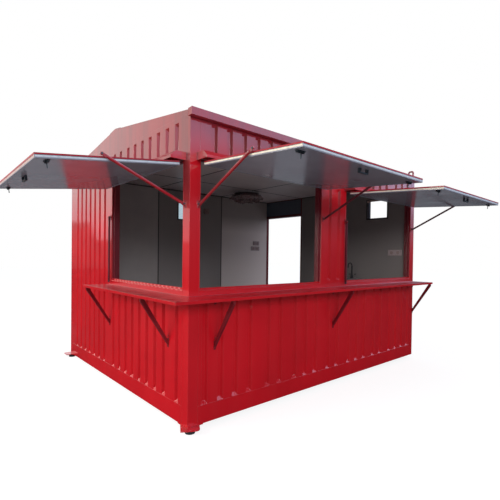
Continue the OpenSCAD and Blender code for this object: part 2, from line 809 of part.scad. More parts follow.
module hatch_skin_of(edges, droop, colour = red) color(colour) hatch_skin(edges, droop);

module left_hatch_skin() on_left() hatch_skin_of(left_edges, left_droop);
module left_hatch_panel() color(grey_board) on_left()
    hatch_panel(left_edges, left_droop);
module left_hatch_latches() color(black) on_left()
    hatch_latches(left_edges, left_droop);
module front_hatch_skin() on_front() hatch_skin_of(front_edges, front_droop);
module front_hatch_panel() color(grey_board) on_front()
    hatch_panel(front_edges, front_droop);
module front_hatch_latches() color(black) on_front()
    hatch_latches(front_edges, front_droop);
module side_hatch_skin() on_front() hatch_skin_of(side_edges, front_droop);
module side_hatch_panel() color(grey_board) on_front()
    hatch_panel(side_edges, front_droop);
module side_hatch_latches() color(black) on_front()
    hatch_latches(side_edges, front_droop);

// A strut, turned by angle from level; toward is +1 where its hatch is at +s
strut_neck = 36;
strut_tip_d = 12;
strut_tip_gap = 1.5;
module strut(s, angle, toward)
    translate([s, -strut_out, strut_h]) rotate([angle, 0, 0])
    mirror([toward > 0 ? 0 : 1, 0, 0]) mirror([0, 1, 0])
    difference() {
        union() {
            for (u = [0, strut_len]) translate([-eye_t / 2, u, 0]) rotate([0, 90, 0])
                cylinder(r = eye_r, h = eye_t);
            translate([-eye_t / 2, 0, -eye_r + 2])
                cube([eye_t, strut_len, 2 * eye_r - 4]);
            translate([0, strut_neck, 0]) rotate([-90, 0, 0])
                cylinder(d = strut_d, h = strut_len - 2 * strut_neck);
            translate([-eye_t, strut_len, 0]) rotate([0, 90, 0])
                cylinder(d = strut_tip_d, h = eye_t + strut_side - strut_tip_gap);
        }
        translate([-eye_t, 0, 0]) rotate([0, 90, 0])
            cylinder(d = strut_pin_d + 2 * pin_play, h = 2 * eye_t);
    }

left_up = -catch_angle(left_droop);
front_up = -catch_angle(front_droop);
// Angle of a strut that hangs straight down
hung = 90;
module left_strut_near() color(red) on_left()
    strut(left_edges[0] - strut_side, left_up, 1);
module left_strut_far() color(red) on_left()
    strut(left_edges[1] + strut_side, hung, -1);
module front_strut_left() color(red) on_front()
    strut(front_edges[0] - strut_side, front_up, 1);
module front_strut_right() color(red) on_front()
    strut(front_edges[1] + strut_side, front_up, -1);
module side_strut_left() color(red) on_front()
    strut(side_edges[0] - strut_side, hung, 1);
module side_strut_right() color(red) on_front()
    strut(side_edges[1] + strut_side, front_up, -1);

module ceiling_lamp() color(pale_metal) place()
    translate([lamp_x, lamp_y, ceiling_h - lamp_h]) {
        cylinder(d = lamp_d, h = lamp_h - 35);
        cylinder(d = lamp_d - 120, h = lamp_h);
    }

// A sink: rim and bowl are one pressing, on four square legs
sink_side = 60;
tap_deck = 140;
sink_front = 50;
module sink_unit() color(pale_metal) on_right() translate([sink_y, in_t, 0]) {
    rim = 25;
    wall = 4;
    leg = 30;
    z = sink_h - bowl_h;
    difference() {
        sink_block(0, 0, z, bowl_h);
        sink_block(sink_side, 0, z + wall, bowl_h);
        translate([0, 0, z - tiny]) difference() {
            translate([-tiny, -tiny, 0])
                cube([sink_w + 2 * tiny, sink_d + 2 * tiny, bowl_h - rim]);
            translate([0, 0, -tiny]) sink_block(sink_side, wall, 0, bowl_h);
        }
    }
    for (x = [leg / 3, sink_w - 4 / 3 * leg], y = [leg / 3, sink_d - 4 / 3 * leg])
        translate([x, y, rail_h]) cube([leg, leg, sink_h - rim - rail_h + tiny]);
}

// The sink's outline (side 0) or its bowl's, made bigger all round by grow
module sink_block(side, grow, z, h) {
    y0 = side > 0 ? tap_deck - grow : 0;
    y1 = side > 0 ? sink_d - sink_front + grow : sink_d;
    x0 = side > 0 ? side - grow : 0;
    translate([x0, y0, z]) cube([sink_w - 2 * x0, y1 - y0, h]);
}

// A tap: round base, column and a bent spout towards the room
tap_d = 24;
spout_r = 8;
module faucet() color(pale_metal) on_right()
    translate([sink_y + sink_w / 2 - 70, in_t + tap_deck - 30, sink_h]) {
        cylinder(d = 2 * tap_d, h = 2 * tap_d);
        cylinder(d = tap_d, h = tap_h);
        translate([0, tap_bend, tap_h]) rotate([90, 0, 90])
            rotate_extrude(angle = 180) translate([tap_bend, 0]) circle(spout_r);
        translate([0, 2 * tap_bend, tap_h - tap_d]) cylinder(r = spout_r, h = tap_d);
        translate([0, 0, tap_h / 3]) rotate([0, 90, 0]) cylinder(r = 6, h = 60);
    }

// Socket plates on the linings and a small box under the ceiling
module wall_sockets() color([0.85, 0.85, 0.83]) {
    row = socket_side + 20;
    on_back() {
        socket([cabin_w - 485, socket_w], socket_t, socket_h + row);
        socket([cabin_w - 540, 1.4 * socket_w], socket_t, socket_h);
        socket([lamp_x - 410, box_side], box_side / 3, eave_h - 450);
    }
    on_right() socket([135, 1.4 * socket_w], socket_t, socket_h - 80);
}
module socket(s, t, z)
    plate([s[0], s[0] + s[1]], [in_t, in_t + t],
        [z, z + (t > 2 * socket_t ? box_side : socket_side)]);

door_inner = [door_gap_y[0] + door_frame_t, door_gap_y[1] - door_back_t];
transom_z = [door_h + transom_bar_h, door_top - door_frame_t];
door_sill_t = 15;
module door_frame() color(dark_red) on_right()
    difference() {
        plate(door_gap_y, [-6, in_t], [rail_h, door_top]);
        plate(door_inner, [-10, in_t + tiny], [rail_h + door_sill_t, door_h]);
        plate(door_inner, [-10, in_t + tiny], transom_z);
    }

module door_transom() color([0.2, 0.27, 0.33]) on_right()
    plate(door_inner, [in_t - 30, in_t - 8], transom_z);

// The door leaf, folded back flat against the wall
module door_leaf() color(red) on_right() {
    leaf_w = door_inner[1] - door_inner[0] - 10;
    s1 = door_gap_y[0] + 6;
    z0 = rail_h + door_sill_t + 5;
    z1 = door_h - 5;
    plate([s1 - leaf_w, s1], [-door_gap - door_t, -door_gap], [z0, z1]);
    for (z = [z0 + 200, (z0 + z1) / 2, z1 - 200]) {
        translate([s1 + 4, -door_gap + 2, z - 60]) cylinder(d = 20, h = 120);
        plate([s1 - 6, s1 + 16], [-door_gap - 1, -6], [z - 60, z + 60]);
    }
    translate([s1 - leaf_w + 70, 0, 1120]) {
        plate([-16, 16], [-door_gap - door_t - 6, -door_gap - door_t + 1], [-90, 90]);
        plate([-8, 8], [-door_gap - door_t - 30, -door_gap - door_t], [20, 36]);
        plate([-8, 110], [-door_gap - door_t - 30, -door_gap - door_t - 16], [20, 36]);
    }
}

base_frame();
foot_pads();
floor_deck();
corner_posts();
front_lower_wall();
front_upper_wall();
front_pillar();
left_lower_wall();
left_upper_wall();
left_rear_wall();
right_front_wall();
right_head_rail();
back_wall();
gable_plates();
roof_sheets();
ridge_cap();
gutters();
ceiling_panel();
front_lining();
left_lining();
right_lining();
back_lining();
opening_frames();
small_window_frames();
drip_hoods();
front_shelf();
left_shelf();
shelf_brackets();
hatch_brackets();
ceiling_lamp();
sink_unit();
faucet();
wall_sockets();
door_frame();
door_transom();
door_leaf();
left_hatch_skin();
left_hatch_panel();
left_hatch_latches();
front_hatch_skin();
front_hatch_panel();
front_hatch_latches();
side_hatch_skin();
side_hatch_panel();
side_hatch_latches();
left_strut_near();
left_strut_far();
front_strut_left();
front_strut_right();
side_strut_left();
side_strut_right();
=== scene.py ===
"""Looks of a red steel coffee cabin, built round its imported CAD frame."""
import json
import math

import bmesh
import bpy
from mathutils import Matrix, Vector, noise


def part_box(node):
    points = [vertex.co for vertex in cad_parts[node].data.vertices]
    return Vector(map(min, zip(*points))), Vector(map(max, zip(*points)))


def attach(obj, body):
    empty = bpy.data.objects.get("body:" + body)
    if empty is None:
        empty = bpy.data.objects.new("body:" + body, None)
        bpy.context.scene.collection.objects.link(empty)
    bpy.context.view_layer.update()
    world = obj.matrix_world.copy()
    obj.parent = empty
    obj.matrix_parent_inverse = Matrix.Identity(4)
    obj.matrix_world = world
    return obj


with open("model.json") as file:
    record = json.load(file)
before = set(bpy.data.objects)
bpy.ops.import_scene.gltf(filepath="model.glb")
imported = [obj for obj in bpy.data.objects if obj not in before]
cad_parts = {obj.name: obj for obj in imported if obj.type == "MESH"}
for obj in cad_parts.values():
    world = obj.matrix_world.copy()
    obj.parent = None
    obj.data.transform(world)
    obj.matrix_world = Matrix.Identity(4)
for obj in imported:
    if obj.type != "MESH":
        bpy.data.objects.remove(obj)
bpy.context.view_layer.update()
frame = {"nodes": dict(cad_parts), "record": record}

NODES = frame["nodes"]
RECORD = frame["record"]


# ---------------------------------------------------------------- measures
# Lengths are in mm from the near left wall corner at the walls' foot.
FOOT, FAR_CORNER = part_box("corner_posts")


def at(x, y, z):
    """A place in the frame, from mm along the front, in from it and up."""
    return FOOT + Vector((x, y, z)) / 1000


def span(node):
    """A CAD node's lowest and highest corner in mm."""
    low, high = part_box(node)
    return (low - FOOT) * 1000, (high - FOOT) * 1000


W, D, WALL_TOP = (FAR_CORNER - FOOT) * 1000
RAIL = span("front_lower_wall")[0].z          # the sheets start on the rail here
SILL = span("front_lower_wall")[1].z
HEAD = span("front_upper_wall")[0].z
ROOF_DEPTH = 28                               # a roof sheet with its ribs
EAVE = span("left_rear_wall")[1].z + ROOF_DEPTH
SHELF = span("front_shelf")[1].z
SHELF_OUT = -span("front_shelf")[0].y
SHELF_SIDE = -span("left_shelf")[0].x
SHELF_END = span("left_shelf")[1].y
CEILING = span("ceiling_panel")[0].z
INNER = span("front_lining")[1].y             # a wall's whole thickness
POST = span("front_lower_wall")[0].x
PILLAR = [corner.x for corner in span("front_pillar")]
FRONT_GAPS = [(POST, PILLAR[0]), (PILLAR[1], W - POST)]
LEFT_GAP = (POST, span("left_rear_wall")[0].y)
DOOR = span("door_frame")
TRANSOM = span("door_transom")

# Steel frames of the serving openings: their lip, inner step and depth
FRAME_LIP, FRAME_STEP, FRAME_DEPTH = 8, 24, 56

# The small windows' openings
SMALL_W, SMALL_H, SMALL_FOOT = 365, 304, SILL + 952
SMALL_Z = (SMALL_FOOT, SMALL_FOOT + SMALL_H)
RIGHT_SMALL = (388, 388 + SMALL_W)
BACK_SMALL = (1744, 1744 + SMALL_W)

# Joints between the lining's and the ceiling's boards
CROSS_JOINTS = (1365, 2695)
LEFT_JOINT, RIGHT_JOINT = 1731, 1214
CEILING_JOINTS = (1150, 2240)


def front(s, n, z):
    """On the front wall: s along it, n in through it, z up."""
    return at(s, n, z)


def left(s, n, z):
    """The same on the left wall, s from its front end."""
    return at(n, s, z)


def right(s, n, z):
    """The same on the right wall, s from its front end."""
    return at(W - n, s, z)


def back(s, n, z):
    """The same on the back wall, s from its left end."""
    return at(s, D - n, z)


# ---------------------------------------------------------------- camera
def camera(offset, yaw, pitch, roll, focal, shift):
    """A camera at offset from the near corner; yaw turns from +Y to +X."""
    yaw, pitch, roll = (math.radians(a) for a in (yaw, pitch, roll))
    ahead = Vector((math.sin(yaw), math.cos(yaw), 0))
    across = Vector((math.cos(yaw), -math.sin(yaw), 0))
    up = Vector((0, 0, 1))
    look = ahead * math.cos(pitch) + up * math.sin(pitch)
    rise = up * math.cos(pitch) - ahead * math.sin(pitch)
    side = across * math.cos(roll) + rise * math.sin(roll)
    top = rise * math.cos(roll) - across * math.sin(roll)
    data = bpy.data.cameras.new("photo_camera")
    data.lens = focal
    data.sensor_width = 36
    data.shift_y = shift
    cam = bpy.data.objects.new("photo_camera", data)
    turn = Matrix((side, top, -look)).transposed()
    cam.matrix_world = Matrix.Translation(FOOT + Vector(offset)) @ turn.to_4x4()
    bpy.context.scene.collection.objects.link(cam)
    bpy.context.scene.camera = cam


camera(offset=(-1.729, -2.762, 1.462), yaw=41.12, pitch=-0.77, roll=0.72,
       focal=27.47, shift=0.024)


# ---------------------------------------------------------------- material kit
class Nodes:
    """A node tree, with short ways to add to it."""

    def __init__(self, tree):
        self.tree = tree

    def node(self, kind, **settings):
        """A new node of a kind, with its settings."""
        n = self.tree.nodes.new("ShaderNode" + kind)
        for key, value in settings.items():
            setattr(n, key, value)
        return n

    def put(self, socket, value):
        """Links an output to a socket, or sets a plain value on it."""
        if isinstance(value, bpy.types.NodeSocket):
            self.tree.links.new(value, socket)
        elif hasattr(value, "__len__") and len(socket.default_value) > len(value):
            socket.default_value = (*value, 1)
        else:
            socket.default_value = value

    def scale(self, value, low, high, a=0.0, b=1.0):
        """Turns low..high into a..b, and no further."""
        n = self.node("MapRange")
        for socket, v in zip(n.inputs, (value, low, high, a, b)):
            self.put(socket, v)
        return n.outputs[0]

    def math(self, operation, a, b):
        """One operation on two values."""
        n = self.node("Math", operation=operation)
        self.put(n.inputs[0], a)
        self.put(n.inputs[1], b)
        return n.outputs[0]

    def both(self, a, b):
        """The product of two shares."""
        return self.math("MULTIPLY", a, b)

    def mix(self, factor, a, b):
        """Colour a where factor is 0, b where it is 1."""
        n = self.node("Mix", data_type="RGBA")
        self.put(n.inputs[0], factor)
        self.put(n.inputs[6], a)
        self.put(n.inputs[7], b)
        return n.outputs[2]

    def split(self, vector):
        """Its three parts."""
        n = self.node("SeparateXYZ")
        self.put(n.inputs[0], vector)
        return n.outputs


class Look(Nodes):
    """A material, its shader and what it takes from the object."""

    def __init__(self, name, colour, rough=0.5, metal=0.0, **sockets):
        self.mat = bpy.data.materials.new(name)
        self.mat.use_nodes = True
        super().__init__(self.mat.node_tree)
        self.shader = self.tree.nodes["Principled BSDF"]
        self.spot = self.node("TexCoord").outputs["Object"]
        self.set("Base Color", (*colour, 1))
        self.set("Roughness", rough)
        self.set("Metallic", metal)
        for socket, value in sockets.items():
            self.set(socket.replace("_", " "), value)

    def set(self, socket, value):
        """Sets or links one of the shader's inputs."""
        self.put(self.shader.inputs[socket], value)

    def stretched(self, x, y, z):
        """The object's own coordinates, scaled along each axis."""
        n = self.node("Mapping")
        self.put(n.inputs["Vector"], self.spot)
        self.put(n.inputs["Scale"], (x, y, z))
        return n.outputs[0]

    def noise(self, scale, detail=3.0, rough=0.55, spot=None):
        """A cloudy texture from 0 to 1; a larger scale is a finer one."""
        n = self.node("TexNoise")
        self.put(n.inputs["Vector"], spot or self.spot)
        self.put(n.inputs["Scale"], scale)
        self.put(n.inputs["Detail"], detail)
        self.put(n.inputs["Roughness"], rough)
        return n.outputs["Fac"]

    def past(self, axis, place, soft=0.004):
        """1 where the object lies past a place in metres along an axis."""
        return self.scale(self.split(self.spot)[axis], place - soft, place + soft)

    def soft(self, radius):
        """A normal with edges rounded by radius."""
        n = self.node("Bevel", samples=4)
        self.put(n.inputs["Radius"], radius)
        return n.outputs[0]

    def edge(self, radius):
        """1 along sharp edges, 0 on flats."""
        n = self.node("VectorMath", operation="DOT_PRODUCT")
        self.put(n.inputs[0], self.soft(radius))
        self.put(n.inputs[1], self.node("NewGeometry").outputs["Normal"])
        return self.scale(n.outputs["Value"], 0.995, 0.86)

    def bump(self, height, distance, under=None):
        """A normal raised by a texture, over the normal under it."""
        n = self.node("Bump")
        self.put(n.inputs["Height"], height)
        self.put(n.inputs["Distance"], distance)
        if under:
            self.put(n.inputs["Normal"], under)
        return n.outputs[0]


# ---------------------------------------------------------------- materials
RED = (0.56, 0.0055, 0.013)
DUST = (0.55, 0.22, 0.20)
# painted highlights: the sky's glints on rippled rims
GLINT_PINK = (0.72, 0.22, 0.21)
# painted shade inside the openings' jambs
JAMB_SHADE = (0.15, 0.005, 0.013)
HATCH_RIM = (0.10, 0.014, 0.03)

# Painted light up on the walls: the height in mm round which that starts, how many metres
# it takes to either side, the surface's outward x at no share and at full share, and the
# colour: a painted pale sky reflection on what faces left, and painted shade on the upper
# part of all the rest, as under the gutters. Above TOPS_FADE the upward tops are duller.
END_SKY_SHEEN = (2080, 0.3, (-0.3, -0.7), (0.145, 0.034, 0.036))
SIDE_UPPER_SHADE = (2400, 0.15, (-0.7, -0.3), (0.23, 0.03, 0.045))
TOPS_FADE = 2200


def shade(colour, times):
    """A colour some times as pale."""
    return tuple(times * c for c in colour)


def painted_glints(look, tone, where, *bands):
    """Painted highlights: pale dashes at an even pitch along the left side, for the sky's glints
    on a rippled rim, between pairs of x in mm.
    """
    n = look.node("TexWave", wave_type="BANDS", bands_direction="Y")
    look.put(n.inputs["Vector"], look.spot)
    look.put(n.inputs["Scale"], 4.1)
    look.put(n.inputs["Distortion"], 0.8)
    look.put(n.inputs["Detail"], 1.0)
    dash = look.both(where, look.scale(n.outputs["Fac"], 0.4, 0.8, 0, 0.75))
    x = look.split(look.spot)[0]
    for low, high in bands:
        begun = look.scale(x, at(low - 2, 0, 0).x, at(low, 0, 0).x)
        band = look.both(begun, look.scale(x, at(high + 6, 0, 0).x, at(high, 0, 0).x))
        tone = look.mix(look.both(band, dash), tone, GLINT_PINK)
    return tone


def painted_sky_and_shade(look, tone, streak, facing):
    """Paints a pale sky reflection on the upper part of what faces left, and shade on the upper
    part of all the rest, broken up by streaks.
    """
    # worn is the streaks' share, which breaks up the painted reflection and shade
    worn = look.scale(streak, 0.35, 0.65, 0.68, 0.9)
    for start, depth, turned, sheen_and_shade in END_SKY_SHEEN, SIDE_UPPER_SHADE:
        share = look.both(look.past(2, at(0, 0, start).z, depth), worn)
        share = look.both(share, look.scale(facing, *turned))
        tone = look.mix(share, tone, sheen_and_shade)
    return tone


def red_paint(name, colour=RED, rough=0.32, dust=0.015, wave=0.0012, ripple=0.0, coat=1.0,
              glint_bands=(), sheen_and_shade=True, rim=(0.004, 0.15, DUST)):
    """Glossy paint on thin sheet: soft waves, rain streaks and worn edges.

    wave and ripple are the sheet's unevenness in metres. The next arguments give the bands of
    painted highlights, and whether the upper walls take a painted sky reflection, painted shade
    and duller tops. rim is the width, share and colour of a tone along the edges: pale wear by
    default, a dark line on the hatches' skins.
    """
    look = Look(name, colour, Coat_Roughness=0.05, Specular_IOR_Level=0.15)
    cloud = look.noise(1.4)
    streak = look.noise(9, detail=4, spot=look.stretched(1, 1, 0.06))
    wide = look.noise(2.6, detail=1, spot=look.stretched(1, 1, 0.4))
    facing, _, up = look.split(look.node("NewGeometry").outputs["Normal"])
    tone = look.mix(look.scale(cloud, 0.35, 0.65), shade(colour, 0.86), colour)
    # painted sky reflection on the upper part of what faces left, painted shade on the rest
    if sheen_and_shade:
        tone = painted_sky_and_shade(look, tone, streak, facing)
    tone = look.mix(look.both(look.scale(streak, 0.45, 0.8), dust), tone, DUST)
    width, share, worn = rim
    tone = look.mix(look.both(look.edge(width), share), tone, worn)
    # painted highlights along the rim
    if glint_bands:
        tone = painted_glints(look, tone, look.scale(up, 0.3, 0.7), *glint_bands)
    look.set("Base Color", tone)
    satin = look.scale(streak, 0.3, 0.75, rough, rough + 0.1)
    look.set("Roughness", satin)
    look.set("Coat Weight", coat)
    if sheen_and_shade:
        top = look.both(look.past(2, at(0, 0, TOPS_FADE).z, 0.1), look.scale(up, 0.5, 0.8))
        look.set("Roughness", look.math("ADD", satin, look.scale(top, 0, 1, 0, 0.25)))
        look.set("Coat Weight", look.scale(top, 0, 1, coat, 0.15 * coat))
    normal = look.bump(wide, wave, look.soft(0.003))
    if ripple:
        normal = look.bump(look.noise(11, detail=1), ripple, normal)
    normal = look.bump(look.noise(300, detail=1), 0.00002, normal)
    look.set("Normal", normal)
    look.set("Coat Normal", normal)
    return look.mat


def frame_paint():
    """The openings' frames: red outside and on the sill, with painted shade inside the jambs and
    painted highlights along the sill.
    """
    look = Look("red_frame", RED, 0.34, Coat_Weight=0.35, Coat_Roughness=0.08)
    streak = look.noise(14, detail=4, spot=look.stretched(1, 1, 0.1))
    lip = FRAME_LIP + 1
    step = SILL + FRAME_STEP
    # painted shade on the frames' faces inside the jambs
    inside = look.both(look.past(0, at(lip, 0, 0).x, 0.001), look.past(1, at(0, lip, 0).y, 0.001))
    inside = look.both(inside, look.past(2, at(0, 0, step + 4).z, 0.002))
    tone = look.mix(look.scale(streak, 0.35, 0.7), shade(RED, 0.85), RED)
    tone = look.mix(inside, tone, JAMB_SHADE)
    tone = look.mix(look.both(look.edge(0.003), 0.12), tone, DUST)
    # painted highlights along the sill's top
    low = look.scale(look.split(look.spot)[2], at(0, 0, step + 6).z, at(0, 0, step + 2).z)
    look.set("Base Color", painted_glints(look, tone, low, (-1, FRAME_LIP), (18, 60)))
    look.set("Roughness", look.scale(streak, 0.3, 0.7, 0.28, 0.4))
    normal = look.bump(look.noise(11, detail=1), 0.003, look.soft(0.002))
    look.set("Normal", normal)
    look.set("Coat Normal", normal)
    return look.mat


def window_paint():
    """The small windows' frames: dark, with a tan head."""
    head = SMALL_Z[1] - 34
    look = Look("window_frame", (0.03, 0.022, 0.024), Specular_IOR_Level=0.05)
    grime = look.noise(30, detail=5)
    dark = look.mix(grime, (0.02, 0.016, 0.018), (0.045, 0.034, 0.036))
    tan = look.mix(grime, (0.30, 0.20, 0.17), (0.42, 0.29, 0.26))
    look.set("Base Color", look.mix(look.past(2, at(0, 0, head).z, 0.001), dark, tan))
    look.set("Roughness", look.scale(grime, 0.3, 0.7, 0.55, 0.7))
    look.set("Normal", look.soft(0.0015))
    return look.mat


def board(name, colour, rough, grain=0.00003, fleck=0.06, stretch=(1, 1, 1), tone_and_light_parts=()):
    """Laminated board: a fine satin grain with faint clouds and scuffs.

    The last argument gives parts in another tone: a function for where they are, and how many
    times as pale they are. On the lining these are the back wall's later boards, a painted pool
    of light by the doorway and painted shade on the right wall.
    """
    look = Look(name, colour, rough)
    cloud = look.noise(2.2, spot=look.stretched(*stretch))
    fine = look.noise(420, detail=2)
    scuff = look.noise(24, detail=6, rough=0.7)
    tone = look.mix(look.scale(cloud, 0.3, 0.7), shade(colour, 1 - fleck),
                    shade(colour, 1 + fleck))
    tone = look.mix(look.scale(scuff, 0.66, 0.85, 0, 0.2), tone, shade(colour, 1.6))
    for where, times in tone_and_light_parts:
        tone = look.mix(where(look), tone, shade(colour, times))
    look.set("Base Color", tone)
    look.set("Roughness", look.scale(cloud, 0.3, 0.7, rough - 0.04, rough + 0.06))
    look.set("Normal", look.bump(fine, grain, look.soft(0.0015)))
    return look.mat


def on_back_wall(look, start):
    """The part of the back wall's lining that lies right of a place in mm."""
    return look.both(look.past(1, at(0, D - INNER - 3, 0).y), look.past(0, at(start, 0, 0).x))


def door_light_patch(look):
    """Painted light on the back wall's last board, beside the doorway: a pool of light coming in
    low through the openings, whole up to 1.95 m and fading above, where the openings' heads shade
    it.
    """
    least, most = at(0, 0, 2250).z, at(0, 0, 1950).z
    below = look.scale(look.split(look.spot)[2], least, most, 0.2, 1)
    return look.both(on_back_wall(look, CROSS_JOINTS[1]), below)


def middle_board(look):
    """All of the back wall's boards but the first."""
    return on_back_wall(look, CROSS_JOINTS[0])


def right_wall_shade(look):
    """The right wall's boards, where the lining takes painted shade."""
    return look.past(0, at(W - INNER - 3, 0, 0).x, 0.001)


def metal(name, colour, rough, brush=(1, 1, 40)):
    """Bare metal with brush lines along one way."""
    look = Look(name, colour, rough, 1.0)
    lines = look.noise(60, detail=4, spot=look.stretched(*brush))
    look.set("Base Color", look.mix(lines, shade(colour, 0.8), colour))
    look.set("Roughness", look.scale(lines, 0.3, 0.7, rough - 0.06, rough + 0.1))
    look.set("Normal", look.bump(lines, 0.00004, look.soft(0.0015)))
    return look.mat


def plastic(name, colour, rough, speck=0.1, **sockets):
    """Moulded plastic or rubber with a fine texture and a little grime."""
    look = Look(name, colour, rough, **sockets)
    grime = look.noise(30, detail=5)
    dirty = shade(colour, 1 - 2 * speck)
    look.set("Base Color", look.mix(look.scale(grime, 0.45, 0.75), colour, dirty))
    look.set("Roughness", look.scale(grime, 0.3, 0.7, rough, rough + 0.12))
    look.set("Normal", look.bump(look.noise(900, detail=1), 0.00003, look.soft(0.001)))
    return look.mat


def film():
    """Crumpled clear film, hazed, its pink tint a painted reflection of the red around it."""
    look = Look("wrap_film", (0.33, 0.2, 0.2), 0.16, Transmission_Weight=0.25)
    crease = look.noise(26, detail=4, rough=0.65)
    look.set("Alpha", look.scale(crease, 0.35, 0.7, 0.35, 0.95))
    look.set("Base Color", look.mix(crease, (0.14, 0.085, 0.085), (0.45, 0.27, 0.27)))
    look.set("Normal", look.bump(crease, 0.02))
    return look.mat


MATERIALS = {
    "red_steel": red_paint("red_steel"),
    "red_fold": red_paint("red_fold", wave=0.0006, ripple=0.002),
    "red_strut": red_paint("red_strut", (0.36, 0.008, 0.016), 0.4, 0.08, 0.0001),
    "pad_rubber": plastic("pad_rubber", (0.02, 0.02, 0.021), 0.7, 0.25),
    "floor_board": board("floor_board", (0.30, 0.27, 0.25), 0.5, 0.0003, 0.2, (1, 0.2, 1)),
    # the lining: a painted pool of light by the doorway and painted shade on the right wall
    "lining_board": board("lining_board", (0.40, 0.35, 0.335), 0.45,
                          tone_and_light_parts=((middle_board, 0.64), (door_light_patch, 1.95),
                                   (right_wall_shade, 0.44))),
    "ceiling_board": board("ceiling_board", (0.66, 0.58, 0.58), 0.4),
    "hatch_board": board("hatch_board", (0.22, 0.225, 0.27), 0.16),
    "dark_latch": plastic("dark_latch", (0.025, 0.04, 0.055), 0.5, 0.2),
    "lamp_shade": plastic("lamp_shade", (0.55, 0.52, 0.52), 0.35),
    "sink_steel": metal("sink_steel", (0.52, 0.53, 0.54), 0.28),
    "tap_metal": metal("tap_metal", (0.03, 0.028, 0.03), 0.35),
    "socket_plastic": plastic("socket_plastic", (0.36, 0.28, 0.27), 0.35),
    "transom_blue": plastic("transom_blue", (0.09, 0.11, 0.145), 0.3),
}
RED_FRAME = frame_paint()
# the left shelf's rim takes painted highlights
RED_SHELF = red_paint("red_shelf", (0.50, 0.005, 0.012), ripple=0.006, coat=0.4,
                      glint_bands=[(-1 - SHELF_SIDE, 34 - SHELF_SIDE)])
HATCH_RED = red_paint("hatch_red", (0.42, 0.006, 0.015), 0.5, coat=0.35, sheen_and_shade=False,
                      rim=(0.009, 0.85, HATCH_RIM))
DARK_TRIM = plastic("dark_trim", (0.03, 0.028, 0.032), 0.35, 0.2)
JOINT_TRIM = plastic("joint_trim", (0.04, 0.034, 0.034), 0.45, 0.2)
# painted light and reflection: one pale edge strip in three tints, by the way each part faces
CREAM_LIT_BAND = plastic("side_band", (0.74, 0.68, 0.54), 0.4, 0.12)
PINK_LIT_BAND = plastic("end_band", (0.50, 0.33, 0.30), 0.4, 0.12)
BLUE_LIT_BAND = plastic("outer_band", (0.52, 0.56, 0.62), 0.4, 0.12)
# painted shade: a darker copy of the strut paint for the struts out of the light
SHADED_STRUT = red_paint("shaded_strut", (0.11, 0.011, 0.022), 0.5, 0.1, 0.0001, coat=0.3)
# painted shade: a darker copy of the red for the brackets under the shelf
BRACKET_SHADE = red_paint("bracket_paint", (0.17, 0.005, 0.011), 0.45, 0.05, 0.0001, coat=0.4)
DOOR_RED = red_paint("door_frame_paint", (0.13, 0.005, 0.012), 0.4, 0.05, 0.0003, coat=0.4)
ZINC = metal("zinc", (0.42, 0.42, 0.43), 0.35, (1, 1, 1))
BOX_BROWN = plastic("box_brown", (0.30, 0.21, 0.20), 0.5, 0.2)
PANE = plastic("pale_pane", (0.46, 0.60, 0.68), 0.06, 0.04, Transmission_Weight=1.0)
WRAP = film()

for part in RECORD["subparts"]:
    shell = NODES[part["node"]].data
    shell.materials.clear()
    shell.materials.append(MATERIALS[part["material_slot"]])
for finish, nodes in (
        (RED_SHELF, ("front_shelf", "left_shelf")),
        (HATCH_RED, ("left_hatch_skin", "front_hatch_skin", "side_hatch_skin")),
        (SHADED_STRUT, ("left_strut_far", "front_strut_right", "side_strut_left",
                      "side_strut_right")),
        (RED_FRAME, ("opening_frames",)),
        (window_paint(), ("small_window_frames",)),
        (MATERIALS["ceiling_board"], ("ceiling_panel",)),
        (BRACKET_SHADE, ("shelf_brackets",)),
        (DOOR_RED, ("door_frame",))):
    for node in nodes:
        NODES[node].data.materials[0] = finish


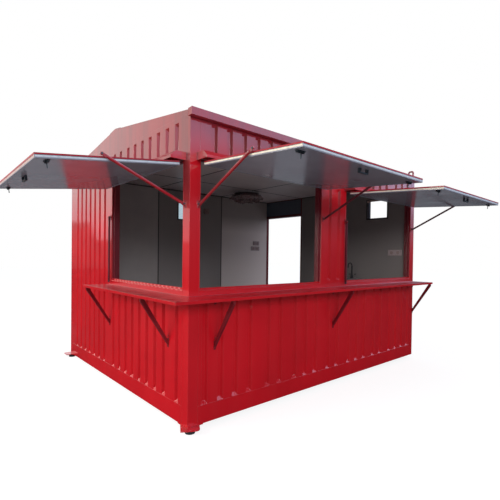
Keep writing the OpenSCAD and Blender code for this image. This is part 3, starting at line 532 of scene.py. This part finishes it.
# ---------------------------------------------------------------- mesh kit
class Shape:
    """Solids added one by one, their corners put in place by a map in mm."""

    def __init__(self, place):
        self.bm = bmesh.new()
        self.place = place

    def block(self, s, n, z):
        """A box between pairs of limits."""
        v = [self.bm.verts.new(self.place(a, b, c)) for c in z for b in n for a in s]
        for side in ((0, 1, 3, 2), (4, 5, 7, 6), (0, 1, 5, 4), (2, 3, 7, 6),
                     (0, 2, 6, 4), (1, 3, 7, 5)):
            self.bm.faces.new([v[i] for i in side])

    def tube(self, rings):
        """Joins each ring of corners with the next."""
        for a, b in zip(rings, rings[1:]):
            for i in range(len(a)):
                j = (i + 1) % len(a)
                self.bm.faces.new((a[i], a[j], b[j], b[i]))

    def rod(self, a, b, r, r_end=None, sides=16):
        """A round bar, or a cone, from a to b; six sides make a nut."""
        a, b = self.place(*a), self.place(*b)
        turn = (b - a).to_track_quat("Z", "X").to_matrix()
        rings = []
        for end, radius in ((a, r), (b, r if r_end is None else r_end)):
            rings.append([self.bm.verts.new(end + turn @ Vector(
                (math.cos(t), math.sin(t), 0)) * radius / 1000)
                for t in (2 * math.pi * i / sides for i in range(sides))])
        self.tube(rings)
        self.bm.faces.new(rings[0][::-1])
        self.bm.faces.new(rings[1])

    def screw(self, spot, out, r=7, h=5):
        """A washer and a hexagon head standing out of a surface."""
        spot, out = Vector(spot), Vector(out)
        self.rod(spot, spot + out * h * 0.3, r * 1.5)
        self.rod(spot + out * h * 0.3, spot + out * h, r, sides=6)

    def rivet(self, spot, out, r=6, h=2.5):
        """A low round head."""
        spot, out = Vector(spot), Vector(out)
        self.rod(spot, spot + out * h * 0.6, r, r * 0.85, 12)
        self.rod(spot + out * h * 0.6, spot + out * h, r * 0.85, r * 0.4, 12)

    def done(self, name, body, material, bevel=0.0):
        """Turns it into a piece on a body, with its edges rounded by bevel mm."""
        bmesh.ops.recalc_face_normals(self.bm, faces=self.bm.faces)
        mesh = bpy.data.meshes.new(name)
        self.bm.to_mesh(mesh)
        self.bm.free()
        mesh.materials.append(material)
        for face in mesh.polygons:
            face.use_smooth = True
        mesh.set_sharp_from_angle(angle=math.radians(35))
        piece = bpy.data.objects.new(name, mesh)
        bpy.context.scene.collection.objects.link(piece)
        if bevel:
            round_off = piece.modifiers.new("bevel", "BEVEL")
            round_off.width = bevel / 1000
            round_off.segments = 2
            round_off.limit_method = "ANGLE"
        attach(piece, body)
        return piece


def steps(low, high, pitch):
    """Evenly spaced places from low to high, about pitch apart."""
    count = max(1, round((high - low) / pitch))
    return [low + (high - low) * i / count for i in range(count + 1)]


# ---------------------------------------------------------------- hatches
HINGE_OUT, HINGE_Z = 38, HEAD - 50
HATCH_LEN = HINGE_Z - SHELF - 22              # shut, a hatch ends just over the shelf
LEFT_DROOP, FRONT_DROOP = 7, 3.7              # degrees below level
SHORT, OVER = 6, 20                           # of an opening's edge, and over the corner
HATCHES = {                                   # wall, both side edges and droop
    "left_hatch": (left, LEFT_GAP[0] - OVER, LEFT_GAP[1] - SHORT, LEFT_DROOP),
    "front_hatch": (front, FRONT_GAPS[0][0] + SHORT, FRONT_GAPS[0][1] - SHORT, FRONT_DROOP),
    "side_hatch": (front, FRONT_GAPS[1][0] + SHORT, FRONT_GAPS[1][1] - SHORT, FRONT_DROOP),
}

# Heights from the hinge pins' plane, up from a hatch's underside
BOARD_FOOT, SKIN_TOP = -26, 9
BAND, SEAL = (-19, -7), (-6.5, -3.5)
BAND_PROUD, SEAL_PROUD = 0.6, 0.3
UNDER_TRIM = (BOARD_FOOT - 2, BOARD_FOOT + 1)


def on_hatch(wall, droop):
    """A map for a raised hatch: s along it, u out from its pins, w up."""
    c, k = math.cos(math.radians(droop)), math.sin(math.radians(droop))

    def place(s, u, w):
        return wall(s, -HINGE_OUT - u * c - w * k, HINGE_Z + w * c - u * k)
    return place


def side_strips(shape, s0, s1, inside, outside, u, w):
    """Strips along both side edges, from inside them to outside them."""
    for s, out in ((s0, -1), (s1, 1)):
        shape.block(sorted((s - inside * out, s + outside * out)), u, w)


def hatch_bands(body, wall, place, s0, s1):
    """The pale edge strips round the lined board, tinted as the photograph shows them: their
    pink, blue and cream are painted light and reflection on one pale strip.
    """
    band = Shape(place)
    band.block((s0 + 1, s1 - 1), (HATCH_LEN - 3, HATCH_LEN + BAND_PROUD), BAND)
    band.done(body + "_outer_band", body, PINK_LIT_BAND if wall is left else BLUE_LIT_BAND, 0.3)
    band = Shape(place)
    side_strips(band, s0, s1, 3, BAND_PROUD, (20, HATCH_LEN - 4), BAND)
    band.done(body + "_side_bands", body, BLUE_LIT_BAND if wall is left else CREAM_LIT_BAND, 0.3)


def hatch_seal(body, place, s0, s1):
    """A dark seal between the board and the skin."""
    seal = Shape(place)
    seal.block((s0 + 2, s1 - 2), (HATCH_LEN - 5, HATCH_LEN + SEAL_PROUD), SEAL)
    side_strips(seal, s0, s1, 5, SEAL_PROUD, (20, HATCH_LEN - 4), SEAL)
    seal.done(body + "_seal", body, DARK_TRIM)


def hatch_rivets(body, place, s0, s1):
    """Rivets round the skin."""
    up, foot = (0, 0, 1), SKIN_TOP - 0.5
    rivets = Shape(place)
    for s in steps(s0 + 30, s1 - 30, 240):
        rivets.rivet((s, HATCH_LEN - 22, foot), up)
        rivets.rivet((s, 36, foot), up)
    for s in (s0 + 20, s1 - 20):
        for u in steps(90, HATCH_LEN - 90, 230):
            rivets.rivet((s, u, foot), up)
    rivets.done(body + "_rivets", body, MATERIALS["red_strut"])


def hatch_under_trim(body, place, s0, s1):
    """A flat border round the board's underside."""
    trim = Shape(place)
    for u in ((20, 44), (HATCH_LEN - 26, HATCH_LEN - 2)):
        trim.block((s0 + 2, s1 - 2), u, UNDER_TRIM)
    side_strips(trim, s0, s1, 24, -2, (44, HATCH_LEN - 26), UNDER_TRIM)
    trim.done(body + "_under_trim", body, MATERIALS["hatch_board"], 0.8)


def hatch_screws(body, place, s0, s1):
    """Screws in that border and in the two latches' plates."""
    down = (0, 0, -1)
    heads = Shape(place)
    for s in steps(s0 + 13, s1 - 13, 300):
        for u in (32, HATCH_LEN - 14):
            heads.rivet((s, u, BOARD_FOOT - 1.6), down, 5, 2)
    for s in (s0 + 75, s1 - 75):
        for ds in (-30, 24):
            for du in (-9, 9):
                heads.rivet((s + ds, HATCH_LEN - 92 + du, BOARD_FOOT - 4.5), down, 3, 2)
    heads.done(body + "_screws", body, ZINC)


for hatch, (wall, s0, s1, droop) in HATCHES.items():
    place = on_hatch(wall, droop)
    hatch_bands(hatch, wall, place, s0, s1)
    hatch_seal(hatch, place, s0, s1)
    hatch_rivets(hatch, place, s0, s1)
    hatch_under_trim(hatch, place, s0, s1)
    hatch_screws(hatch, place, s0, s1)


# ---------------------------------------------------------------- struts
# The pins at the wall: out from it, their height and their distance beside the hatch
STRUT_OUT, STRUT_Z, STRUT_SIDE = 24, HINGE_Z - 355, 18
STRUT_LEN = STRUT_Z - SHELF - 37              # down, a strut ends just over the shelf
STRUT_OVER = 16                               # the outer pin above the hatch's skin


def catch_angle(droop):
    """How far a strut rises from level to meet its hatch's edge."""
    c, k = math.cos(math.radians(droop)), math.sin(math.radians(droop))
    reach = STRUT_OVER + SKIN_TOP
    dn, dz = HINGE_OUT - STRUT_OUT, HINGE_Z - STRUT_Z
    # Bisect for the rise that brings the outer pin to that height over the hatch
    low, high = 0.0, math.radians(60)
    for _ in range(40):
        rise = (low + high) / 2
        out, up = STRUT_LEN * math.cos(rise) - dn, STRUT_LEN * math.sin(rise) - dz
        above = up * c + out * k
        low, high = (rise, high) if above < reach else (low, rise)
    return rise


def on_strut(wall, s, rise):
    """A map for a strut: q beside it, u out along it, v across it."""
    c, k = math.cos(rise), math.sin(rise)

    def place(q, u, v):
        return wall(s + q, -STRUT_OUT - u * c + v * k, STRUT_Z + u * k + v * c)
    return place


def strut_details(body, wall, s, rise, toward, paint):
    """Nuts on both of a strut's pins, and collars where its tube is flattened."""
    place = on_strut(wall, s, rise)
    ends = Shape(place)
    for q in (-1, 1):
        ends.rod((q * 11.5, 0, 0), (q * 15.5, 0, 0), 9, sides=6)
    ends.rod((-toward * 4, STRUT_LEN, 0), (-toward * 9, STRUT_LEN, 0), 9, sides=6)
    ends.rod((toward * 4, STRUT_LEN, 0), (toward * 6, STRUT_LEN, 0), 11)
    ends.done(body + "_nuts", body, MATERIALS["dark_latch"], 0.5)
    collars = Shape(place)
    for u in (34, STRUT_LEN - 42):
        collars.rod((0, u, 0), (0, u + 8, 0), 13)
    collars.done(body + "_collars", body, paint, 0.8)


LEFT_RISE, FRONT_RISE = catch_angle(LEFT_DROOP), catch_angle(FRONT_DROOP)
DOWN = math.radians(-90)
# the plain strut paint; the other struts take the darker painted-shade copy
LIT_STRUT = MATERIALS["red_strut"]
STRUTS = {                                    # hatch, side of it, rise and paint
    "left_near_prop": ("left_hatch", -1, LEFT_RISE, LIT_STRUT),
    "left_far_prop": ("left_hatch", 1, DOWN, SHADED_STRUT),
    "front_left_prop": ("front_hatch", -1, FRONT_RISE, LIT_STRUT),
    "front_right_prop": ("front_hatch", 1, FRONT_RISE, SHADED_STRUT),
    "side_left_prop": ("side_hatch", -1, DOWN, SHADED_STRUT),
    "side_right_prop": ("side_hatch", 1, FRONT_RISE, SHADED_STRUT),
}
for prop, (hatch, side, rise, paint) in STRUTS.items():
    wall, s0, s1, _ = HATCHES[hatch]
    s = (s1 if side > 0 else s0) + side * STRUT_SIDE
    strut_details(prop, wall, s, rise, -side, paint)


# ---------------------------------------------------------------- brackets
# The shelf's brackets: their foot, and their places along both walls
BRACKET_FOOT = SHELF - 470
SHELF_BRACKETS = {"front": (front, (276, W / 2 + 5, W - 12)), "left": (left, (342, 1736))}
HINGE_IN = 180                                # outer hinges, from a hatch's side edges
KNUCKLE = 37                                  # half a hinge's length along its pin


def hatch_bracket_screws(hatch, wall, s0, s1):
    """Screws of the strut plates, and nuts on the hinges' pins."""
    m = Shape(wall)
    for s in (s0 - STRUT_SIDE, s1 + STRUT_SIDE):
        for z in (-24, 24):
            m.screw((s, -5, STRUT_Z + z), (0, -1, 0), 4, 3)
    for s in (s0 + HINGE_IN, (s0 + s1) / 2, s1 - HINGE_IN):
        for side in (-1, 1):
            m.rod((s + side * KNUCKLE, -HINGE_OUT, HINGE_Z),
                  (s + side * (KNUCKLE + 5), -HINGE_OUT, HINGE_Z), 8, sides=6)
    m.done(hatch + "_bracket_screws", "cabin", MATERIALS["red_strut"], 0.4)


def shelf_bolts(name, wall, places):
    """Bolts of the shelf's brackets: two at each foot and one under the shelf."""
    m = Shape(wall)
    for s in places:
        for z in (BRACKET_FOOT + 36, BRACKET_FOOT + 84, SHELF - 67):
            m.screw((s, -5, z), (0, -1, 0), 5, 4)
    m.done(name + "_shelf_bolts", "cabin", MATERIALS["red_strut"], 0.4)


for hatch, (wall, s0, s1, _) in HATCHES.items():
    hatch_bracket_screws(hatch, wall, s0, s1)
for name, (wall, places) in SHELF_BRACKETS.items():
    shelf_bolts(name, wall, places)


# ---------------------------------------------------------------- openings
def ring(shape, s, n, z, width):
    """A frame of four bars of one width inside the limits s and z."""
    shape.block((s[0], s[1]), n, (z[0], z[0] + width))
    shape.block((s[0], s[1]), n, (z[1] - width, z[1]))
    shape.block((s[0], s[0] + width), n, (z[0] + width, z[1] - width))
    shape.block((s[1] - width, s[1]), n, (z[0] + width, z[1] - width))


def opening_trim(name, wall, gap):
    """A section over the lining's cut edge inside an opening, and the frame's rivets."""
    m = Shape(wall)
    ring(m, gap, (FRAME_DEPTH + 1, INNER + 3), (SILL, HEAD), 14)
    m.done(name, "cabin", RED_FRAME, 1.5)
    m = Shape(wall)
    for s in steps(gap[0] + 80, gap[1] - 80, 420):
        m.rivet((s, 30, HEAD - FRAME_LIP), (0, 0, -1), 4, 2)
        m.rivet((s, 42, SILL + FRAME_STEP), (0, 0, 1), 4, 2)
    m.done(name + "_rivets", "cabin", ZINC)


def small_window_trim(name, wall, s):
    """A cover frame inside the room, and a stop in the window's frame."""
    over, stop = 14, 8
    m = Shape(wall)
    ring(m, (s[0] - over, s[1] + over), (INNER, INNER + 4),
         (SMALL_Z[0] - over, SMALL_Z[1] + over), 16)
    m.done(name, "cabin", DARK_TRIM, 1)
    m = Shape(wall)
    ring(m, (s[0] + stop, s[1] - stop), (30, 42), (SMALL_Z[0] + stop, SMALL_Z[1] - stop), 5)
    m.done(name + "_stop", "cabin", DARK_TRIM, 1)


def back_window_pane():
    """The fixed pale pane in the back wall's small window."""
    m = Shape(back)
    (s0, s1), (z0, z1) = BACK_SMALL, SMALL_Z
    m.block((s0 + 9, s1 - 9), (34, 38), (z0 + 9, z1 - 9))
    m.done("back_window_pane", "cabin", PANE)


opening_trim("front_trim", front, FRONT_GAPS[0])
opening_trim("side_trim", front, FRONT_GAPS[1])
opening_trim("left_trim", left, LEFT_GAP)
small_window_trim("right_window_trim", right, RIGHT_SMALL)
small_window_trim("back_window_trim", back, BACK_SMALL)
back_window_pane()


# ---------------------------------------------------------------- counter
def shelf_welds():
    """Weld beads along the shelf's mitre and along both walls."""
    m = Shape(at)
    mitre = SHELF - 1
    m.rod((-4, -4, mitre), (4 - SHELF_OUT, 4 - SHELF_OUT, mitre), 2, sides=8)
    m.rod((0, -1, SHELF), (W, -1, SHELF), 2.5, sides=8)
    m.rod((-1, 0, SHELF), (-1, SHELF_END, SHELF), 2.5, sides=8)
    m.done("shelf_welds", "cabin", MATERIALS["red_steel"])


shelf_welds()


# ---------------------------------------------------------------- shell
SEAM = 1.6


def seams(name, wall, rail_end, uprights):
    """Sealant along the rail and up the posts; uprights are their s, foot and top."""
    m = Shape(wall)
    m.rod((POST, -0.2, RAIL), (rail_end, -0.2, RAIL), SEAM, sides=6)
    for s, low, high in uprights:
        m.rod((s, 0, low), (s, 0, high), SEAM, sides=6)
    m.done(name + "_seams", "cabin", MATERIALS["red_steel"])


seams("front", front, W - POST, [(x, *z) for x in (POST, W - POST)
                                 for z in ((0, SILL), (HEAD, WALL_TOP))])
seams("left", left, D - POST, [(POST, 0, SILL), (D - POST, 0, WALL_TOP)])
seams("back", back, W - POST, [(x, 0, WALL_TOP) for x in (POST, W - POST)])
seams("right", right, DOOR[0].y, [(POST, 0, WALL_TOP)])


# ---------------------------------------------------------------- roof
ROOF_TOP = span("roof_sheets")[1].z
RIB_PITCH = 240


def roof_height(y):
    """The top of the roof's ribs at y."""
    rise = (ROOF_TOP - EAVE) / (D / 2)
    return EAVE + rise * (D / 2 - abs(y - D / 2))


def roof_screws():
    """Screws in three rows on each slope by its ribs, and along both sides of the cap."""
    m = Shape(at)
    for x in steps(180, W - 180, RIB_PITCH):
        for y in (150, 640, 1120):
            for y_at in (y, D - y):
                m.screw((x, y_at, roof_height(y_at) - 0.5), (0, 0, 1), 6, 5)
        for y_at in (D / 2 - 120, D / 2 + 120):
            m.screw((x + 100, y_at, roof_height(y_at) + 4), (0, 0, 1), 5, 4)
    m.done("roof_screws", "cabin", ZINC)


def gutter_straps():
    """Straps across both gutters, and a plate in each of their ends."""
    end_0, end_1 = (corner.x for corner in span("gutters"))
    m = Shape(at)
    for x in steps(40, W - 40, 560):
        for y, out in ((0, -1), (D, 1)):
            m.block((x - 12, x + 12), sorted((y + out * 2, y + out * 58)), (EAVE - 6, EAVE - 3))
    for x in (end_0 + 1, end_1 - 4):
        for y, out in ((0, -1), (D, 1)):
            m.block((x, x + 3), sorted((y + out, y + out * 58)), (EAVE - 63, EAVE - 2))
    m.done("gutter_straps", "cabin", MATERIALS["red_fold"], 0.6)


roof_screws()
gutter_straps()


# ---------------------------------------------------------------- feet
SET_IN = 142.5                                # the right feet, in from both walls
FEET = ((34, 12), (14, D - 14), (W - SET_IN, SET_IN), (W - SET_IN, D - SET_IN))


def foot_stems():
    """A screw and a nut between each pad and its plate."""
    stems = Shape(at)
    for x, y in FEET:
        stems.rod((x, y, -46), (x, y, -9), 34, 26, 24)
        stems.rod((x, y, -14), (x, y, -8.2), 22, sides=6)
    stems.done("foot_stems", "cabin", ZINC, 0.8)


foot_stems()


# ---------------------------------------------------------------- room
def lining_joints():
    """Cover strips over the joints of the lining's and the ceiling's boards."""
    half = 9
    m = Shape(at)
    for x in CROSS_JOINTS:
        m.block((x - half, x + half), (D - INNER - 2, D - INNER + 1), (RAIL, CEILING))
    m.block((INNER - 1, INNER + 2), (LEFT_JOINT - half, LEFT_JOINT + half), (RAIL, CEILING))
    m.block((W - INNER - 2, W - INNER + 1), (RIGHT_JOINT - half, RIGHT_JOINT + half),
            (RAIL, CEILING))
    for y in CEILING_JOINTS:
        m.block((INNER, W - INNER), (y - half, y + half), (CEILING - 2, CEILING + 1))
    for x in CROSS_JOINTS:
        m.block((x - half, x + half), (INNER, D - INNER), (CEILING - 2.5, CEILING + 1))
    m.done("lining_joints", "cabin", JOINT_TRIM, 0.6)


def room_trims():
    """A cove under the ceiling and a skirting round the floor."""
    m = Shape(at)
    inner_x, inner_y = (INNER, W - INNER), (INNER, D - INNER)
    for z in ((CEILING - 16, CEILING), (RAIL, RAIL + 55)):
        m.block(inner_x, (inner_y[1] - 10, inner_y[1] + 1), z)
        m.block(inner_x, (inner_y[0] - 1, inner_y[0] + 10), z)
        m.block((inner_x[0] - 1, inner_x[0] + 10), inner_y, z)
        m.block((inner_x[1] - 10, inner_x[1] + 1), (inner_y[0], DOOR[0].y), z)
    m.done("room_trims", "cabin", JOINT_TRIM, 1)


lining_joints()
room_trims()

LAMP_LOW, LAMP_HIGH = span("ceiling_lamp")
LAMP_X, LAMP_Y = (LAMP_LOW.x + LAMP_HIGH.x) / 2, (LAMP_LOW.y + LAMP_HIGH.y) / 2
LAMP_R = (LAMP_HIGH.x - LAMP_LOW.x) / 2


def lamp_rim():
    """A dark rim round the lamp's shade."""
    m = Shape(at)
    m.rod((LAMP_X, LAMP_Y, LAMP_LOW.z + 6), (LAMP_X, LAMP_Y, LAMP_LOW.z + 62), LAMP_R + 4,
          sides=64)
    m.done("lamp_rim", "cabin", DARK_TRIM, 5)


def film_corner(t, angle):
    """A corner of the film: t runs from its top at the rim to its foot."""
    way = Vector((math.cos(angle), math.sin(angle), 0))
    crumple = noise.noise(Vector((3 * way.x, 3 * way.y, 4 * t)))
    fine = noise.noise(Vector((11 * way.x, 11 * way.y, 9 * t)))
    flare = 1.02 + 0.30 * math.sin(min(1, 1.6 * t) * math.pi / 2) - 1.15 * max(0, t - 0.45)
    r = LAMP_R * flare + 45 * crumple + 22 * fine
    droop = 120 * t + 70 * crumple * t + 40 * fine * t
    return at(LAMP_X + r * way.x, LAMP_Y + r * way.y, LAMP_LOW.z + 40 - droop)


def lamp_film():
    """The wrapping film that still hangs from the lamp."""
    rows, sides = 15, 72
    m = Shape(at)
    rings = []
    for j in range(rows):
        corners = [film_corner(j / (rows - 1), 2 * math.pi * i / sides) for i in range(sides)]
        rings.append([m.bm.verts.new(corner) for corner in corners])
    m.tube(rings)
    m.bm.faces.new(rings[-1])
    m.done("lamp_film", "cabin", WRAP)


lamp_rim()
lamp_film()

# Socket plates: their wall, start, width and foot
DOUBLE, TRIPLE, SOCKET_Z, SOCKET_ROW = 162, 227, 1592, 108
SOCKETS = ((back, W - 485, DOUBLE, SOCKET_Z + SOCKET_ROW), (back, W - 540, TRIPLE, SOCKET_Z),
           (right, 135, TRIPLE, SOCKET_Z - 80))

# The junction box on the back wall, under the ceiling
BOX_X, BOX_Z, BOX_SIDE = LAMP_X - 410, EAVE - 450, 92


def socket_details():
    """Two round sockets and a middle line on each plate; the wells' darker discs are painted
    shade.
    """
    dark = Shape(at)
    pale = Shape(at)
    face = INNER + 9                          # just inside the plates' faces
    for wall, s, wide, z in SOCKETS:
        dark.place = pale.place = wall
        middle = z + 44
        for share in (0.27, 0.73):
            centre = s + wide * share
            pale.rod((centre, face, middle), (centre, face + 4, middle), 33, 31, 32)
            # painted shade in the socket's well
            dark.rod((centre, face + 3, middle), (centre, face + 4.4, middle), 25, sides=32)
            for pin in (centre - 9, centre + 9):
                pale.rod((pin, face + 4, middle), (pin, face + 5.4, middle), 2.6, sides=10)
        pale.block((s + wide / 2 - 1, s + wide / 2 + 1), (face, face + 2), (z + 5, z + 83))
    pale.done("socket_faces", "cabin", MATERIALS["socket_plastic"], 0.6)
    dark.done("socket_wells", "cabin", BOX_BROWN)


def junction_box_lid():
    """The brown lid of the box under the ceiling, with its four screws."""
    over, screw_in = 3, 10
    m = Shape(back)
    m.block((BOX_X - over, BOX_X + BOX_SIDE + over), (INNER, INNER + 32),
            (BOX_Z - over, BOX_Z + BOX_SIDE + over))
    for ds in (screw_in, BOX_SIDE - screw_in):
        for dz in (screw_in, BOX_SIDE - screw_in):
            m.rivet((BOX_X + ds, INNER + 31, BOX_Z + dz), (0, 1, 0), 5, 3)
    m.done("junction_box_lid", "cabin", BOX_BROWN, 2)


socket_details()
junction_box_lid()

(SINK_X0, SINK_Y0, _), (SINK_X1, SINK_Y1, SINK_TOP) = span("sink_unit")
DRAIN = ((SINK_X0 + SINK_X1) / 2 - 45, (SINK_Y0 + SINK_Y1) / 2)
BOWL = 180                                    # the bowl's depth
TAP_X, TAP_Y = W - INNER - 110, (SINK_Y0 + SINK_Y1) / 2 - 70


def sink_fittings():
    """A rolled rim, and a drain with its pipe under the bowl."""
    m = Shape(at)
    corners = ((SINK_X0, SINK_Y0), (SINK_X1, SINK_Y0), (SINK_X1, SINK_Y1), (SINK_X0, SINK_Y1))
    for a, b in zip(corners, corners[1:] + corners[:1]):
        m.rod((*a, SINK_TOP - 3), (*b, SINK_TOP - 3), 5, sides=10)
    foot = SINK_TOP - BOWL
    m.rod((*DRAIN, foot), (*DRAIN, foot + 6), 45, 41, 40)
    m.rod((*DRAIN, foot - 80), (*DRAIN, foot + 2), 24, sides=24)
    m.done("sink_fittings", "cabin", MATERIALS["sink_steel"], 0.6)


def sink_drain_shade():
    """Painted shade: a dark disc in the drain, and dark blocks for two overflow slots in the
    bowl's side.
    """
    m = Shape(at)
    foot = SINK_TOP - BOWL
    m.rod((*DRAIN, foot + 5.5), (*DRAIN, foot + 7), 30, sides=32)
    for y in (SINK_Y0 + 40, SINK_Y1 - 40):
        m.block((SINK_X0 + 4, SINK_X0 + 22), (y, y + 20), (SINK_TOP - 60, SINK_TOP - 30))
    m.done("sink_drain_shade", "cabin", DARK_TRIM)


def tap_rings():
    """Rings round the tap's foot and column, and its lever's knob."""
    m = Shape(at)
    for up, r in ((1, 30), (50, 17), (190, 16)):
        z = SINK_TOP + up
        m.rod((TAP_X, TAP_Y, z), (TAP_X, TAP_Y, z + 8), r, r * 0.94, 32)
    m.rod((TAP_X, TAP_Y - 52, SINK_TOP + 67), (TAP_X, TAP_Y - 74, SINK_TOP + 72), 9, 7, 20)
    m.done("tap_rings", "cabin", MATERIALS["tap_metal"], 0.8)


sink_fittings()
sink_drain_shade()
tap_rings()


# ---------------------------------------------------------------- doorway
LEAF_LOW, LEAF_HIGH = span("door_leaf")
LEAF_END = DOOR[0].y + 6                      # the hinged edge of the folded leaf
LEAF_GAP, LEAF_T = 22, 40                     # its gap to the wall, and its thickness


def door_fields():
    """Two pressed fields on the folded leaf."""
    out = -LEAF_GAP - LEAF_T
    m = Shape(right)
    for z in ((LEAF_LOW.z + 130, LEAF_LOW.z + 700), (LEAF_LOW.z + 830, LEAF_HIGH.z - 130)):
        ring(m, (LEAF_LOW.y + 110, LEAF_END - 110), (out - 3, out + 1), z, 34)
    m.done("door_fields", "cabin", MATERIALS["red_steel"], 1.5)


def door_hinge_caps():
    """A cap on both ends of each of the leaf's three hinges."""
    s, n = LEAF_END + 4, 2 - LEAF_GAP
    m = Shape(right)
    for z in (LEAF_LOW.z + 200, (LEAF_LOW.z + LEAF_HIGH.z) / 2, LEAF_HIGH.z - 200):
        for foot in (z - 61, z + 58):
            m.rod((s, n, foot), (s, n, foot + 3), 11, sides=20)
    m.done("door_hinge_caps", "cabin", ZINC, 0.6)


def door_threshold():
    """A ribbed plate over the doorway's sill."""
    s0, s1, z = DOOR[0].y + 26, DOOR[1].y - 8, RAIL + 15
    m = Shape(right)
    m.block((s0, s1), (-4, INNER), (z, z + 3))
    for n in (10, 30, 50, 70):
        m.block((s0 + 4, s1 - 4), (n, n + 6), (z + 3, z + 5))
    m.done("door_threshold", "cabin", ZINC, 0.5)


def transom_beads():
    """Beads round the panel over the door."""
    m = Shape(right)
    low, high = TRANSOM
    ring(m, (low.y, high.y), (INNER - 34, INNER - 6), (low.z, high.z), 10)
    m.done("transom_beads", "cabin", DARK_TRIM, 1)


door_fields()
door_hinge_caps()
door_threshold()
transom_beads()


# ---------------------------------------------------------------- stage
FLOOR_GREY = (0.3, 0.3, 0.3)
FLOOR_GLOW = 0.84                             # white with the lamps' light, less in shadow


def floor():
    """White for the camera, with the cabin's shadow, and dull paving in the gloss."""
    bpy.ops.mesh.primitive_plane_add(size=80, location=(0, 0, 0))
    ground = bpy.context.object
    ground.name = "studio_floor"
    look = Look("studio_floor", FLOOR_GREY, 0.9, Specular_IOR_Level=0.0)
    path = look.node("LightPath").outputs
    seen = look.math("MAXIMUM", path["Is Camera Ray"], path["Is Transmission Ray"])
    behind = look.both(look.past(1, 4, 1.5), look.past(0, -1.6, 0.8))
    paving = look.mix(behind, (0.045, 0.04, 0.04), (0.42, 0.43, 0.44))
    unseen = look.mix(path["Is Glossy Ray"], (0.50, 0.49, 0.48), paving)
    look.set("Base Color", look.mix(seen, unseen, FLOOR_GREY))
    look.set("Emission Color", (1, 1, 1, 1))
    look.set("Emission Strength", look.both(seen, FLOOR_GLOW))
    ground.data.materials.append(look.mat)


def skyline(tree, east, north, ahead):
    """The height at which the sky starts in each direction."""
    roofs = tree.scale(east, -0.33, -0.315, 0.037, 0.078)
    trees = tree.both(ahead, tree.scale(east, 0.82, 0.9, 0.21, -0.02))
    sheds = tree.both(tree.scale(north, 0, 0.3), tree.scale(east, 0.45, 0.65, 0, 0.3))
    bank = tree.scale(east, -0.75, -0.9, 0, 0.45)
    for line in (trees, sheds, bank):
        roofs = tree.math("MAXIMUM", roofs, line)
    return roofs


def gloss(tree, east, north, height):
    """What the gloss shows: a bright sky over a dark skyline, bluer on the right."""
    left_side = tree.scale(tree.math("SUBTRACT", north, east), -0.8, 0.8)
    ahead = tree.scale(north, 0.3, -0.3)
    above = tree.math("SUBTRACT", height, skyline(tree, east, north, ahead))
    blur = tree.scale(ahead, 0, 1, 0.004, 0.06)
    pale = tree.mix(left_side, (0.7, 0.8, 1.15), (0.86, 0.80, 0.86))
    high = tree.mix(left_side, (1.5, 1.75, 2.5), (1.25, 1.16, 1.14))
    sky = tree.mix(tree.scale(above, 0.02, 0.08), pale, high)
    haze = tree.mix(tree.scale(height, 0, 0.2), (0.03, 0.03, 0.04), (0.36, 0.34, 0.44))
    dark = tree.mix(left_side, haze, (0.12, 0.11, 0.11))
    return tree.mix(tree.scale(tree.math("DIVIDE", above, blur), -1, 1), dark, sky)


def surroundings():
    """White for the camera, a plain pale dome for the light and a skyline in the gloss."""
    world = bpy.data.worlds.new("studio")
    bpy.context.scene.world = world
    world.use_nodes = True
    tree = Nodes(world.node_tree)
    tree.tree.nodes.clear()
    east, north, height = tree.split(tree.node("TexCoord").outputs["Generated"])
    path = tree.node("LightPath").outputs
    dome = tree.mix(tree.scale(height, -0.05, 0.6), (0.60, 0.60, 0.63), (0.50, 0.53, 0.60))
    light = tree.mix(path["Is Glossy Ray"], dome, gloss(tree, east, north, height))
    white = tree.math("MAXIMUM", path["Is Camera Ray"], path["Is Transmission Ray"])
    backdrop = tree.node("Background")
    tree.put(backdrop.inputs["Color"], tree.mix(white, light, (1, 1, 1)))
    tree.put(tree.node("OutputWorld").inputs[0], backdrop.outputs[0])


def soft_lamp(name, place, aim, size, power, colour):
    """A soft box turned to its aim; its places and size are in metres."""
    data = bpy.data.lights.new(name, "AREA")
    data.shape = "RECTANGLE"
    data.size, data.size_y = size
    data.energy = power
    data.color = colour
    lamp = bpy.data.objects.new(name, data)
    place, aim = Vector(place), Vector(aim)
    turn = (aim - place).to_track_quat("-Z", "Y").to_matrix().to_4x4()
    lamp.matrix_world = Matrix.Translation(place) @ turn
    bpy.context.scene.collection.objects.link(lamp)


floor()
surroundings()
soft_lamp("left_softbox", (-9, 2, 3.6), (-1.5, 0.5, 1.2), (6, 2.5), 605, (1, 0.93, 0.84))
soft_lamp("front_softbox", (-4, -11, 4.4), (0.5, -1, 1.2), (7, 2.5), 540, (0.88, 0.94, 1))
bpy.context.scene.view_settings.view_transform = "Standard"
